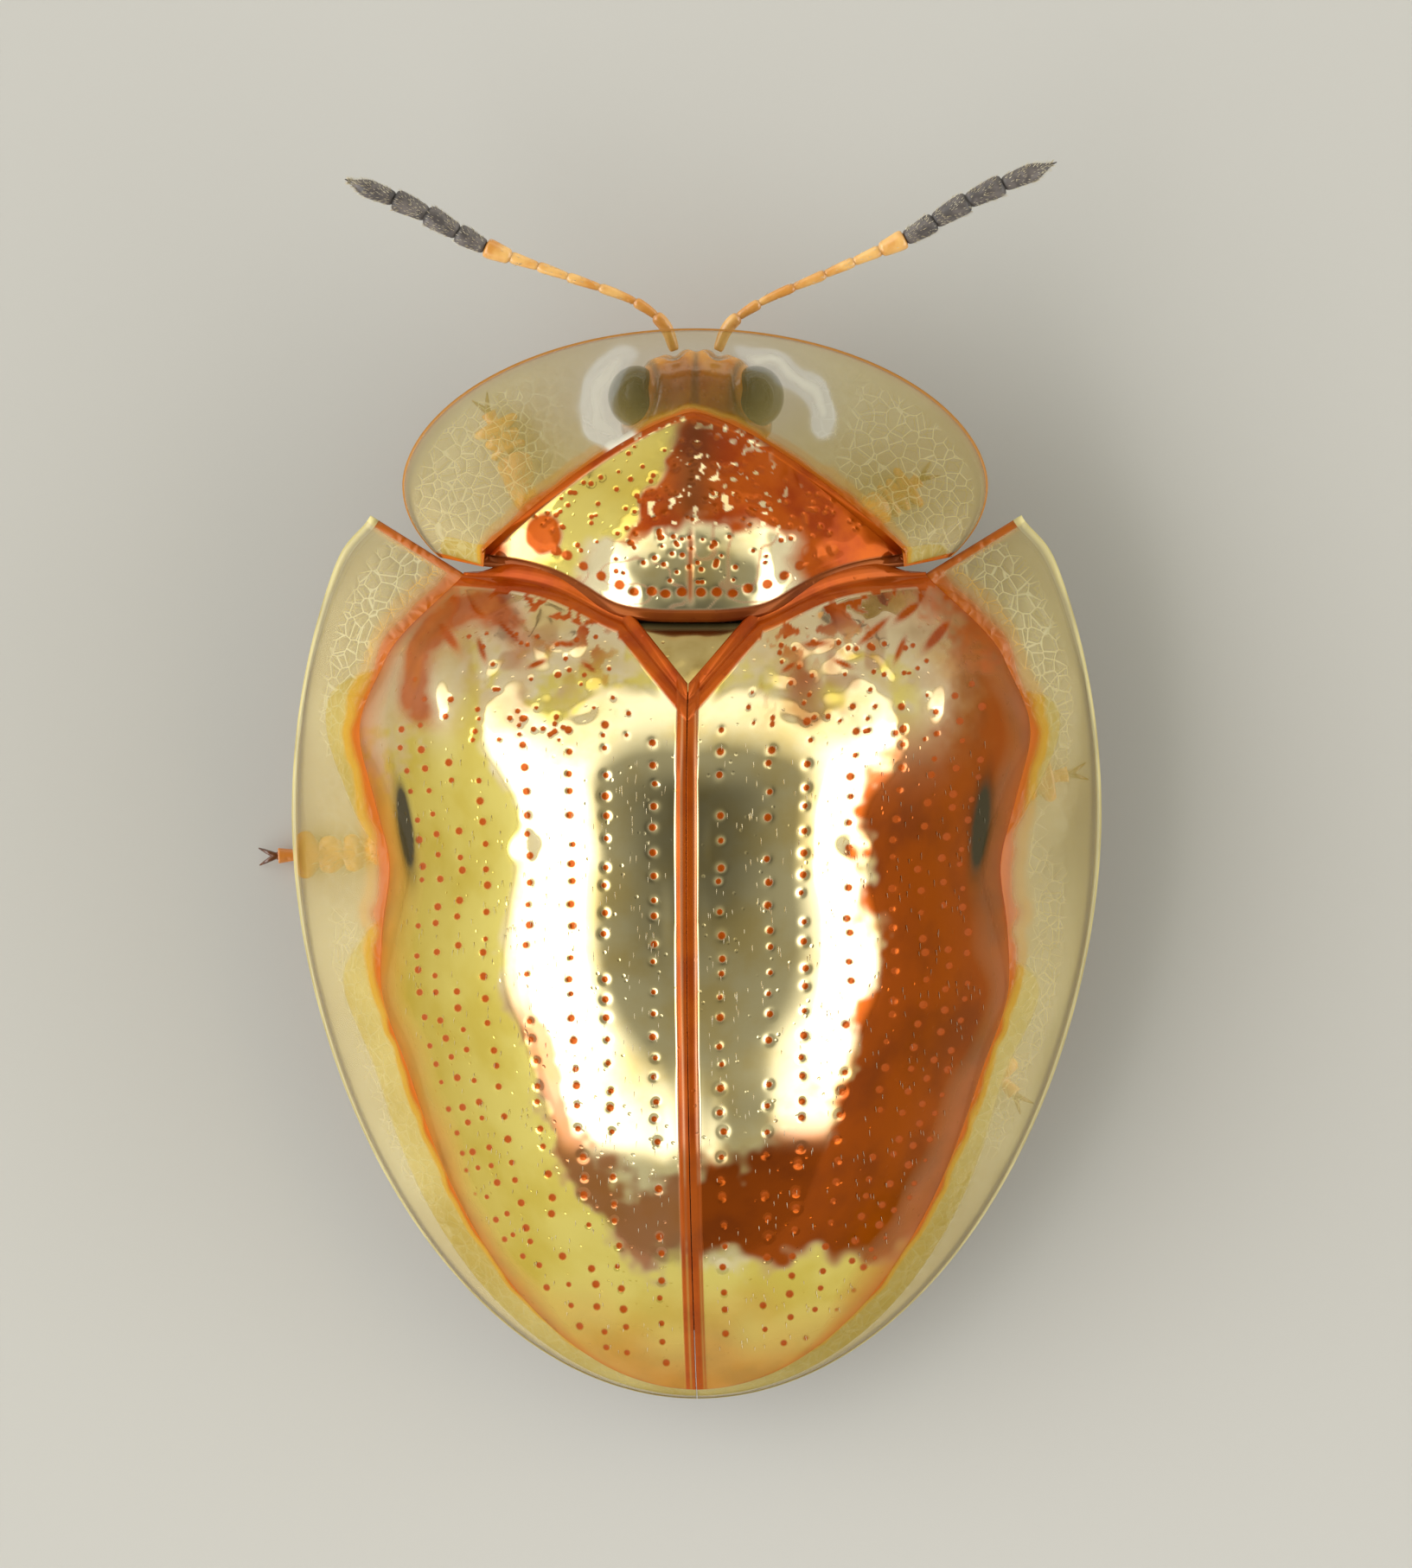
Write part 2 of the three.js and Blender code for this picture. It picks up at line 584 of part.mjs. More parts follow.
function put(name, geometry, material) {
  const mesh = new THREE.Mesh(geometry, material);
  mesh.name = name;
  beetle.add(mesh);
}

// Middle line of a feeler.
function feelerCurve({ side, root, reach }) {
  const plan = [...root, ...reach];
  const last = plan.length - 1;
  const points = plan.map(([x, y], i) => point(side * x, y, FEELER_HEIGHT + FEELER_LIFT * (i / last) ** 2));
  return new THREE.CatmullRomCurve3(points, false, "centripetal");
}

const bead = (v, count) => Math.abs(Math.sin(Math.PI * v * count)) ** 0.6;
const shaftProfile = (v) => {
  const radius = SHAFT_RADIUS + SHAFT_SWELL * bead(v, SHAFT_BEADS) + SHAFT_END_SWELL * smoothstep(v, 0.86, 1);
  return [radius, radius];
};
const clubProfile = (v) => {
  const taper = 1 - CLUB_TAPER * smoothstep(v, 0.85, 1);
  const radius = (CLUB_RADIUS + CLUB_SWELL * bead(v, CLUB_BEADS)) * taper;
  return [radius, radius];
};

for (const [name, side] of [["left", 1], ["right", -1]]) {
  put(`elytron_${name}`, elytronDisc(side), GOLD);
  put(`elytron_margin_${name}`, elytronMargin(side), CLEAR);
  put(`eye_${name}`, eye(side), DARK);
  put(`mandible_${name}`, mouthPart(beside(MANDIBLE_AT, side), MANDIBLE_SIZE), AMBER);
  put(`palp_${name}`, mouthPart(beside(PALP_AT, side), PALP_SIZE), AMBER);

  const curve = feelerCurve(FEELERS[name]);
  const split = sharesOf(curve)[CLUB_START];
  const half = GAP / 2 / curve.getLength();
  put(`antenna_${name}`, stretch(curve, 0, split - half, 24, 8, shaftProfile), AMBER);
  put(`antenna_club_${name}`, stretch(curve, split + half, 1, 17, 8, clubProfile), DARK);
}

put("scutellum", scutellum(), AMBER);
put("pronotum", shieldDisc(), GOLD);
put("pronotum_margin", shieldMargin(), CLEAR);
put("head", head(), AMBER);
put("labrum", mouthPart(LABRUM_AT, LABRUM_SIZE), AMBER);
put("prothorax", prothorax(), BELLY);

const chest = thorax();
put("thorax", chest, BELLY);
put("abdomen", abdomen(), BELLY);

const trunkBelow = solidOf(chest).add(solidOf(prothorax())).translate([0, 0, -GAP]);
for (const [name, leg] of Object.entries(LEGS)) {
  const curve = legCurve(leg);
  const [, thighAt, kneeAt, ankleAt] = sharesOf(curve);
  const half = GAP / 2 / curve.getLength();
  const hip = solidOf(stretch(curve, 0, thighAt - half, 3, 10, hipProfile));
  put(`coxa_${name}`, geometryOf(hip.subtract(trunkBelow)), LEG);
  put(`femur_${name}`, stretch(curve, thighAt + half, kneeAt - half, 8, 10, thighProfile), LEG);
  put(`tibia_${name}`, stretch(curve, kneeAt + half, ankleAt - half, 6, 10, shinProfile), LEG);
  put(`tarsus_${name}`, foot(curve, ankleAt + half), LEG);
}

export default beetle;
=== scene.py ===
"""Dresses a golden tortoise beetle: gold wing cases and shield, clear margins, feelers, legs and trunk.

Sizes are in millimetres. Places along the body are measured backwards from the front edge of the
shield, and Patch.to_object carries them to the frame, where the floor is z = 0, the beetle faces -Y
and its left side is +X.
"""

from __future__ import annotations

import logging
import math
from dataclasses import dataclass, field
from enum import Enum

import bpy
import numpy as np
from mathutils import Matrix, Vector


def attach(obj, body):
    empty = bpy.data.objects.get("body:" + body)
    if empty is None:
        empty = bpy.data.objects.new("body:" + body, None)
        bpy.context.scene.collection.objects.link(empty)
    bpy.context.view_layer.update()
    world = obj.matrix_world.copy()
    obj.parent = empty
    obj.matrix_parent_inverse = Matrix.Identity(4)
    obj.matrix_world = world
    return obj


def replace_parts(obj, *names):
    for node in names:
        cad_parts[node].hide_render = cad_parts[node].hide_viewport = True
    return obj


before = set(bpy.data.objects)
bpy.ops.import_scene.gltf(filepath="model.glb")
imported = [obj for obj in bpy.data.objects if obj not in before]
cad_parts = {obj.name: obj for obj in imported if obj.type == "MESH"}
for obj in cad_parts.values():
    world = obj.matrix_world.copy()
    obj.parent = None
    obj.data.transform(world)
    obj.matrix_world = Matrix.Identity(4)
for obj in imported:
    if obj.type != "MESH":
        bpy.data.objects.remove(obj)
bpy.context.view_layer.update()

Array = np.ndarray
Pair = tuple[Array, Array]
Triple = tuple[Array, Array, Array]
Colour = tuple[float, float, float]
Place = tuple[float, float, float]
Rows = tuple[tuple[float, ...], ...]
Material = bpy.types.Material
Socket = bpy.types.NodeSocket
Tree = bpy.types.NodeTree
MM = 0.001
ORIGIN_BACK = 2.73
SEED = 20261125
POLE_ANGLE = 0.04
HAIR_FLOOR = 0.004

log = logging.getLogger("tortoise beetle")


class Side(Enum):
    """The beetle's own left and right, as the sign of x."""

    LEFT = 1
    RIGHT = -1

    @property
    def word(self) -> str:
        """The side's name, as piece names hold it."""
        return self.name.lower()


class Ends(Enum):
    """How the two ends of a row of rings are closed."""

    FLAT = "flat"
    POINTED = "pointed"


def smooth(value: Array, low: float, high: float) -> Array:
    """Rises from 0 at low to 1 at high along 3t^2 - 2t^3.

    Args:
        value: numbers to place between low and high.
        low: where the rise starts.
        high: where it ends; below low it falls instead.

    Returns:
        The shares of the rise.
    """
    t = np.clip((value - low) / (high - low), 0, 1)
    return t * t * (3 - 2 * t)


def bell(value: Array, centre: float, width: float) -> Array:
    """exp(-((value - centre) / width)^2)."""
    return np.exp(-(((value - centre) / width) ** 2))


def mix(start: Array, end: Array, share: Array) -> Array:
    """Straight line from start to end."""
    return start + (end - start) * share


def unit(rows: Array) -> Array:
    """Directions scaled to length 1."""
    return rows / np.linalg.norm(rows, axis=-1, keepdims=True)


def xyz(x: Array, y: Array, z: Array) -> Array:
    """Points from their coordinates, which may be single rows, columns or numbers."""
    return np.stack(np.broadcast_arrays(x, y, z), axis=-1)


def circle(count: int) -> Array:
    """Evenly spread angles round a circle."""
    return np.linspace(0, 2 * math.pi, count, endpoint=False)


def mound(distance: Array, reach: float) -> Array:
    """Half-round profile: sqrt(1 - (distance / reach)^2), and 0 past the reach."""
    return np.sqrt(np.clip(1 - (distance / reach) ** 2, 0, 1))


def stroke(x: Array, y: Array, at_x: float, at_y: float, long: float, wide: float, turn: float) -> Array:
    """A stretched bell turned in plan: exp(-(u / long)^2 - (v / wide)^2).

    Args:
        x: places across.
        y: places along.
        at_x: its middle, across.
        at_y: its middle, along.
        long: its long reach.
        wide: its wide reach.
        turn: angle of its long way from the x axis towards y.

    Returns:
        1 at its middle, falling to 0.
    """
    across, along = x - at_x, y - at_y
    u = across * math.cos(turn) + along * math.sin(turn)
    v = along * math.cos(turn) - across * math.sin(turn)
    return np.exp(-((u / long) ** 2) - (v / wide) ** 2)


def picks(count: int, kept: int) -> Array:
    """Evenly spread places among count columns, first and last included."""
    return np.linspace(0, count - 1, kept).round().astype(int)


def waver(x: Array, y: Array, pitch: float, seed: int) -> Array:
    """Smooth random relief between about -1 and 1.

    Random heights stand on a square lattice one pitch apart and are blended along both axes by
    3t^2 - 2t^3.

    Args:
        x: places across.
        y: places along.
        pitch: distance between lattice points.
        seed: seed of the random heights.

    Returns:
        The relief at each place.
    """
    size, middle = 128, 40.5
    lattice = np.random.default_rng(SEED + seed).uniform(-1, 1, (size, size))
    u, v = x / pitch + middle, y / pitch + middle
    i, j = np.floor(u).astype(int), np.floor(v).astype(int)
    s, t = smooth(u - i, 0, 1), smooth(v - j, 0, 1)
    i, j, beside, beyond = i % size, j % size, (i + 1) % size, (j + 1) % size
    near = mix(lattice[i, j], lattice[beside, j], s)
    far = mix(lattice[i, beyond], lattice[beside, beyond], s)
    return mix(near, far, t)


def pits(x: Array, y: Array, places: Array, radii: Array) -> Array:
    """How deep inside a pit each point lies: the sum of exp(-(distance / radius)^2).

    Args:
        x: points across, of any shape.
        y: points along, of the same shape.
        places: (n, 2) centres of the pits.
        radii: (n,) radii of the pits.

    Returns:
        0 outside the pits, 1 at a pit's middle.
    """
    depth = np.zeros_like(x)
    for (px, py), radius in zip(places, radii):
        rows = np.nonzero(np.abs(y - py).min(axis=1) < 3 * radius)[0]
        if len(rows) == 0:
            continue
        band = slice(rows[0], rows[-1] + 1)
        near = ((x[band] - px) ** 2 + (y[band] - py) ** 2) / radius**2
        depth[band] += np.exp(-near)
    return np.minimum(depth, 1)


@dataclass
class Patch:
    """Points, faces and point values of one or more closed surfaces.

    Attributes:
        points: (n, 3) places in millimetres.
        faces: index arrays, each (m, corners).
        values: named numbers for each point, read by the materials.
        spots: (n, 2) places on the unwrapped skin, for hairs only.
    """

    points: Array
    faces: list[Array]
    values: dict[str, Array] = field(default_factory=dict)
    spots: Array | None = None

    def volume(self) -> float:
        """Enclosed volume: the sum of p0 . (p1 x p2) / 6 over fans of triangles."""
        total = 0.0
        for face in self.faces:
            first = self.points[face[:, 0]]
            for k in range(1, face.shape[1] - 1):
                cross = np.cross(self.points[face[:, k]], self.points[face[:, k + 1]])
                total += float(np.einsum("ij,ij->", first, cross)) / 6
        return total

    def outward(self) -> Patch:
        """The same surface with its faces pointing out."""
        if self.volume() < 0:
            self.faces = [face[:, ::-1] for face in self.faces]
        return self

    def mirrored(self, side: Side) -> Patch:
        """The surface as built for LEFT, or its mirror image for RIGHT."""
        if side is Side.LEFT:
            return self
        points = self.points * (-1, 1, 1)
        return Patch(points, [face[:, ::-1] for face in self.faces], self.values, self.spots)

    def to_object(self, name: str, material: Material, slot: str) -> bpy.types.Object:
        """Makes the mesh object and rides it on the root body.

        Args:
            name: the piece's name.
            material: its finish.
            slot: a material slot name, not used.

        Returns:
            The object, at the origin.
        """
        mesh = bpy.data.meshes.new(name)
        places = (self.points - (0, ORIGIN_BACK, 0)) * MM
        mesh.vertices.add(len(places))
        mesh.vertices.foreach_set("co", places.astype(np.float32).ravel())
        sizes = np.concatenate([np.full(len(f), f.shape[1]) for f in self.faces])
        corners = np.concatenate([f.ravel() for f in self.faces]).astype(np.int32)
        mesh.loops.add(len(corners))
        mesh.loops.foreach_set("vertex_index", corners)
        mesh.polygons.add(len(sizes))
        starts = np.concatenate([[0], np.cumsum(sizes)[:-1]]).astype(np.int32)
        mesh.polygons.foreach_set("loop_start", starts)
        mesh.polygons.foreach_set("use_smooth", sizes <= 4)
        for key, numbers in self.values.items():
            layer = mesh.attributes.new(key, "FLOAT", "POINT")
            layer.data.foreach_set("value", numbers.astype(np.float32).ravel())
        if self.spots is not None:
            layer = mesh.uv_layers.new(name="OFBake")
            layer.data.foreach_set("uv", self.spots[corners].astype(np.float32).ravel())
        mesh.update(calc_edges=True)
        mesh.validate()
        mesh.materials.append(material)
        piece = placed(name, mesh)
        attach(piece, "root")
        log.info("%s: %d points, %d faces", name, len(places), len(sizes))
        return piece


def placed(name: str, data: bpy.types.ID) -> bpy.types.Object:
    """A new object in the scene, at the origin."""
    made = bpy.data.objects.new(name, data)
    bpy.context.scene.collection.objects.link(made)
    return made


def joined(patches: list[Patch]) -> Patch:
    """One patch that holds the surfaces of several, with 0 where one lacks a value."""
    offsets = np.cumsum([0] + [len(p.points) for p in patches])
    faces = [face + start for p, start in zip(patches, offsets) for face in p.faces]
    keys = sorted({key for p in patches for key in p.values})
    values = {
        key: np.concatenate([p.values.get(key, np.zeros(len(p.points))) for p in patches])
        for key in keys
    }
    spots = None
    if all(p.spots is not None for p in patches):
        spots = np.concatenate([p.spots for p in patches])
    return Patch(np.concatenate([p.points for p in patches]), faces, values, spots)


def closed_rings(rings: Array, ends: Ends, values: dict[str, Array] | None = None) -> Patch:
    """A closed surface through rings of points that follow each other.

    Args:
        rings: (n, m, 3) points; each ring closes on itself.
        ends: flat end faces, or a point in the middle of each end ring.
        values: numbers for the points, (n, m), or single rows or columns.

    Returns:
        The surface, faces outwards.
    """
    n, m, _ = rings.shape
    index = np.arange(n * m).reshape(n, m)
    turned = np.roll(index, -1, axis=1)
    quads = np.stack([index[:-1], turned[:-1], turned[1:], index[1:]], axis=-1).reshape(-1, 4)
    points = rings.reshape(-1, 3)
    numbers = {key: np.broadcast_to(value, (n, m)).reshape(-1) for key, value in (values or {}).items()}
    if ends is Ends.FLAT:
        caps = [index[:1, ::-1], index[-1:]]
        return Patch(points, [quads, *caps], numbers).outward()
    poles = np.stack([rings[0].mean(axis=0), rings[-1].mean(axis=0)])
    first = np.stack([turned[0], index[0], np.full(m, n * m)], axis=-1)
    last = np.stack([index[-1], turned[-1], np.full(m, n * m + 1)], axis=-1)
    numbers = {key: np.concatenate([v, v[[0]], v[[-1]]]) for key, v in numbers.items()}
    return Patch(np.concatenate([points, poles]), [quads, first, last], numbers).outward()


def plate(top: Array, under: Array, values: dict[str, Array]) -> Patch:
    """A closed plate whose rings run over the top and back along the underside.

    Args:
        top: (n, m, 3) upper surface.
        under: (n, k, 3) lower surface, in the same direction.
        values: numbers of the upper surface, (n, m), or single rows, columns or numbers. The
            underside takes those above it.

    Returns:
        The plate, faces outwards.
    """
    rings = np.concatenate([top, under[:, ::-1]], axis=1)
    count = under.shape[1]
    places = np.linspace(top.shape[1] - 1, 0, count).round().astype(int)
    full = {key: np.broadcast_to(value, top.shape[:2]) for key, value in values.items()}
    numbers = {key: np.concatenate([v, v[:, places]], axis=1) for key, v in full.items()}
    return closed_rings(rings, Ends.FLAT, numbers)


def blob(centre: Array, size: Array, around: int = 48, down: int = 32) -> Pair:
    """Rings of an ellipsoid about its Y axis.

    Args:
        centre: its middle.
        size: its three half sizes.
        around: points in a ring.
        down: number of rings.

    Returns:
        (down, around, 3) points, and the (down, around, 3) unit directions they lie in.
    """
    polar = np.linspace(POLE_ANGLE, math.pi - POLE_ANGLE, down)[:, None]
    turn = circle(around)[None, :]
    direction = xyz(np.sin(polar) * np.cos(turn), -np.cos(polar), np.sin(polar) * np.sin(turn))
    return np.asarray(centre) + direction * np.asarray(size), direction


class Path:
    """A smooth limb line through given knots, measured by shares of its length.

    The line is a centripetal Catmull-Rom spline: between two knots it is the cubic whose end slopes
    come from the neighbouring knots, weighted by the square roots of the knot distances.
    """

    FINE = 80
    STEP = 0.004

    def __init__(self, knots: list[Place]) -> None:
        """Args:
            knots: places that the line passes.
        """
        k = np.array(knots, dtype=float)
        k = np.concatenate([[2 * k[0] - k[1]], k, [2 * k[-1] - k[-2]]])
        gaps = np.sqrt(np.linalg.norm(np.diff(k, axis=0), axis=1))[:, None]
        before, here, after = gaps[:-2], gaps[1:-1], gaps[2:]
        p0, p1, p2, p3 = k[:-3], k[1:-2], k[2:-1], k[3:]
        slope1 = ((p1 - p0) / before - (p2 - p0) / (before + here)) * here + p2 - p1
        slope2 = p2 - p1 - (p3 - p1) / (here + after) * here + (p3 - p2) / after * here
        t = np.linspace(0, 1, self.FINE, endpoint=False)[None, :, None]
        a, b, c, d = p1[:, None], p2[:, None], slope1[:, None], slope2[:, None]
        line = a + c * t + (3 * (b - a) - 2 * c - d) * t**2 + (2 * (a - b) + c + d) * t**3
        self.points = np.concatenate([line.reshape(-1, 3), k[-2:-1]])
        lengths = np.linalg.norm(np.diff(self.points, axis=0), axis=1)
        along = np.concatenate([[0], np.cumsum(lengths)])
        self.along = along / along[-1]
        self.knots = self.along[:: self.FINE]

    def place(self, shares: Array) -> Array:
        """Places at shares of the length."""
        return np.stack([np.interp(shares, self.along, self.points[:, k]) for k in range(3)], -1)

    def at(self, shares: Array) -> Pair:
        """Places and unit directions at shares of the length."""
        ahead = self.place(np.minimum(shares + self.STEP, 1))
        behind = self.place(np.maximum(shares - self.STEP, 0))
        return self.place(shares), unit(ahead - behind)

    def frames(self, shares: Array) -> tuple[Array, Array, Array, Array]:
        """Places, and unit directions along the line, level across it and up from it."""
        centre, along = self.at(shares)
        across = unit(np.cross([0.0, 0.0, 1.0], along))
        return centre, along, across, np.cross(along, across)

    def around(self, shares: Array, turn: Array, wide: Array, high: Array) -> Triple:
        """Places round the line: centre + across * wide * cos(turn) + up * high * sin(turn).

        Args:
            shares: (n,) places along the line.
            turn: (n,) angles about it, from the level.
            wide: (n,) distances outwards.
            high: (n,) distances upwards.

        Returns:
            The places, the unit directions away from the line and those along it.
        """
        centre, along, across, up = self.frames(shares)
        cos, sin = np.cos(turn)[:, None], np.sin(turn)[:, None]
        places = centre + across * wide[:, None] * cos + up * high[:, None] * sin
        return places, across * cos + up * sin, along

    def limb(self, shares: Array, wide: Array, high: Array, sides: int, dark: Array | None = None) -> Patch:
        """A limb of oval rings round the line, pointed at both ends and cut off at the floor.

        Each point is centre + across * wide * cos(turn) + up * high * sin(turn), with across level.

        Args:
            shares: (n,) where the rings stand.
            wide: (n,) half widths, or (n, sides).
            high: (n,) half heights, or (n, sides).
            sides: points in a ring.
            dark: (n,) shares of the shell's dark colour.

        Returns:
            The limb, faces outwards.
        """
        centre, _, across, up = self.frames(shares)
        turn = circle(sides)[None, :]
        wide = np.asarray(wide).reshape(len(shares), -1)
        high = np.asarray(high).reshape(len(shares), -1)
        ring = (
            centre[:, None]
            + across[:, None] * (wide * np.cos(turn))[..., None]
            + up[:, None] * (high * np.sin(turn))[..., None]
        )
        ring[..., 2] = np.maximum(ring[..., 2], 0)
        return closed_rings(ring, Ends.POINTED, {} if dark is None else {"dark": dark[:, None]})


def hairs(roots: Array, aims: Array, lengths: Array, radius: float, spots: Array) -> Patch:
    """Tapered three-sided hairs, each two levels and a tip.

    Args:
        roots: (n, 3) places on the skin.
        aims: (n, 3) unit directions.
        lengths: (n,) lengths.
        radius: half thickness at the root.
        spots: (n, 2) places of the roots on the unwrapped skin.

    Returns:
        All hairs as one patch of closed bodies.
    """
    n = len(roots)
    helper = np.where(np.abs(aims[:, 2:3]) > 0.9, [[1.0, 0, 0]], [[0, 0, 1.0]])
    one = unit(np.cross(helper, aims))
    two = np.cross(aims, one)
    turns = circle(3)[None, :, None]
    spokes = one[:, None] * np.cos(turns) + two[:, None] * np.sin(turns)
    low = roots[:, None] + spokes * radius
    middle = roots[:, None] + (aims * lengths[:, None] * 0.5)[:, None] + spokes * radius * 0.7
    tip = roots[:, None] + (aims * lengths[:, None])[:, None]
    points = np.concatenate([low, middle, tip], axis=1).reshape(-1, 3)
    base = (np.arange(n) * 7)[:, None, None]
    quads = np.array([[0, 1, 4, 3], [1, 2, 5, 4], [2, 0, 3, 5]])[None] + base
    tips = np.array([[3, 4, 6], [4, 5, 6], [5, 3, 6], [2, 1, 0]])[None] + base
    corner = np.array([[0, 0], [1, 0], [0.5, 1], [0, 0.5], [1, 0.5], [0.5, 1], [0.5, 0.8]]) * 0.003
    unwrapped = (spots[:, None] + corner[None]).reshape(-1, 2)
    faces = [quads.reshape(-1, 4), tips.reshape(-1, 3)]
    return Patch(points, faces, {}, unwrapped).outward()


@dataclass(frozen=True)
class Form:
    """Driving sizes of the animal, and the surfaces worked out from them."""

    body_length: float = 6.5
    body_width: float = 4.92
    body_height: float = 2.75
    widest_at: float = 2.95
    outline_front: float = 3.35
    outline_power: float = 1.85
    hollow_power: float = 1.4
    corner_round: float = 0.09
    corner_at: float = 1.13
    corner_reach: float = 0.14
    disc_half: float = 1.93
    shoulder_cut: float = 0.22
    shoulder_from: float = 1.3
    shoulder_to: float = 2.0
    disc_base_half: float = 1.39
    base_step: float = 0.06
    base_forward: float = 0.35
    disc_front: float = 3.1
    disc_end: float = 6.44
    dome_power: float = 2.7
    peak_at: float = 2.9
    front_fall: float = 0.72
    peak_ease: float = 0.25
    front_fall_reach: float = 1.05
    front_fall_power: float = 1.45
    rear_fall_power: float = 2.3
    edge_fall_power: float = 2.5
    under_gap: float = 0.38
    disc_edge: float = 0.98
    disc_tail: float = 0.62
    rim: float = 0.62
    rim_tail: float = 0.5
    rim_corner_lift: float = 0.12
    suture_half: float = 0.066
    suture_rise: float = 0.03
    shield_half: float = 1.775
    shield_widest_at: float = 0.95
    shield_rear: float = 0.9
    shield_corner: float = math.radians(119)
    shield_disc_half: float = 1.28
    shield_disc_front: float = 0.51
    shield_sweep: float = 0.6
    shield_sweep_power: float = 1.4
    shield_front_height: float = 1.2
    shield_front_lift: float = 0.04
    shield_hind_lift: float = 0.04
    shield_dome_power: float = 0.9
    shield_rim: float = 0.92
    hind_side: float = 1.38
    hind_bulge: float = 0.41
    hind_reach: float = 0.7
    scutellum_half: float = 0.36
    scutellum_tip: float = 2.226
    gap: float = 0.03
    swellings: Rows = ((2.4, 0.35, 0.13), (3.25, 0.28, -0.07), (4.05, 0.32, 0.06))
    relief: Rows = (
        (1.3, 2.05, 0.26, 0.36, 0.1),
        (0.8, 2.15, 0.2, 0.22, -0.05),
        (1.25, 2.95, 0.3, 0.25, -0.04),
    )

    def elytra_outline(self, angle: Array) -> Pair:
        """Rim of the wing cases: an ellipse in front of its widest place, fuller behind it."""
        x = self.body_width / 2 * np.cos(angle)
        ahead = np.sin(np.maximum(-angle, 0))
        behind = np.sin(np.maximum(angle, 0)) ** (2 / self.outline_power)
        y = self.widest_at - self.outline_front * ahead + (self.body_length - self.widest_at) * behind
        cut = self.corner_round * bell(y, self.corner_at, self.corner_reach)
        return x - np.where(angle < 0, cut, 0), y

    def disc_half_width(self, y: Array) -> Array:
        """Half width of the gold disc: an ellipse that swells at the shoulder and behind the middle."""
        reach = np.where(y > self.widest_at, self.disc_end - self.widest_at, self.disc_front)
        u = np.minimum(1, np.abs(y - self.widest_at) / reach)
        swelling = sum(by * bell(y, at, wide) for at, wide, by in self.swellings)
        cut = self.shoulder_cut * (1 - smooth(y, self.shoulder_from, self.shoulder_to))
        return (self.disc_half * np.sqrt(1 - u * u) + swelling * (1 - u**6)) * (1 - cut)

    def disc_outline(self, angle: Array, grow: float = 0.0) -> Pair:
        """Edge of the gold disc at an angle, moved outwards by grow."""
        reach = np.where(angle > 0, self.disc_end - self.widest_at, self.disc_front)
        y = self.widest_at + reach * np.sin(angle)
        return self.disc_half_width(y) + grow * np.cos(angle), y + grow * np.maximum(0, np.sin(angle))

    def hind_margin(self, x: Array) -> Array:
        """Hind edge of the shield: a bulge 1 / (1 + (x / 0.7)^4) behind a straight side."""
        return self.hind_side + self.hind_bulge / (1 + (x / self.hind_reach) ** 4)

    def base_line(self, x: Array) -> Array:
        """Front edge of the wing cases: round the scutellum, then behind the shield."""
        slope = (self.scutellum_tip - float(self.hind_margin(0.0))) / self.scutellum_half
        notch = self.scutellum_tip + self.gap * math.hypot(1, slope) - slope * x
        step = self.base_step * smooth(x, 0.3, 1.3) - self.base_forward * smooth(x, 1.5, 2)
        return np.maximum(notch, self.hind_margin(x) + self.gap + step)

    def base_angle(self) -> float:
        """Angle of the disc's front corner."""
        return -math.asin((self.widest_at - float(self.base_line(self.disc_base_half))) / self.disc_front)

    def midline_height(self, y: Array) -> Array:
        """Height along the suture: falls by a power of the distance from the peak, both ways."""
        top = self.body_height - self.suture_rise
        ahead = np.maximum(0, self.peak_at - y) / self.front_fall_reach
        ease = self.peak_ease
        ahead = (np.sqrt(ahead**2 + ease**2) - ease) / (math.sqrt(1 + ease**2) - ease)
        behind = np.clip((y - self.peak_at) / (self.disc_end - self.peak_at), 0, 1)
        front = top - self.front_fall * ahead**self.front_fall_power
        rear = self.disc_tail + (top - self.disc_tail) * (1 - behind**self.rear_fall_power)
        return np.where(y < self.peak_at, front, rear)

    def disc_edge_height(self, y: Array) -> Array:
        """Height of the disc's edge, lower towards the tail."""
        back = np.clip((y - self.widest_at) / (self.disc_end - self.widest_at), 0, 1)
        return mix(self.disc_edge, self.disc_tail, back**self.edge_fall_power)

    def rim_height(self, y: Array) -> Array:
        """Height of the outer rim, lowest at the tip and lifted at the shoulder."""
        back = np.clip((y - self.widest_at) / (self.body_length - self.widest_at), 0, 1)
        ahead = np.clip((self.widest_at - y) / (self.widest_at - self.corner_at), 0, 1)
        return mix(self.rim, self.rim_tail, back**2) + self.rim_corner_lift * ahead**2

    def dome_height(self, x: Array, y: Array) -> Array:
        """Dome of the wing cases with its bosses and hollows: edge + rise * (1 - u^2.7)."""
        out = np.abs(x)
        u = np.minimum(1, out / np.maximum(self.disc_half_width(y), 0.05))
        edge = self.disc_edge_height(y)
        dome = edge + (self.midline_height(y) - edge) * (1 - u**self.dome_power)
        bosses = sum(by * bell(out, cx, wide) * bell(y, cy, long) for cx, cy, wide, long, by in self.relief)
        return dome + bosses

    def shield_disc_front_at(self, x: Array) -> Array:
        """Front edge of the shield's gold disc."""
        return self.shield_disc_front + self.shield_sweep * np.abs(x) ** self.shield_sweep_power

    def shield_front_height_at(self, x: Array) -> Array:
        """Height along that front edge."""
        return self.shield_front_height + self.shield_front_lift * (x / self.shield_disc_half) ** 2

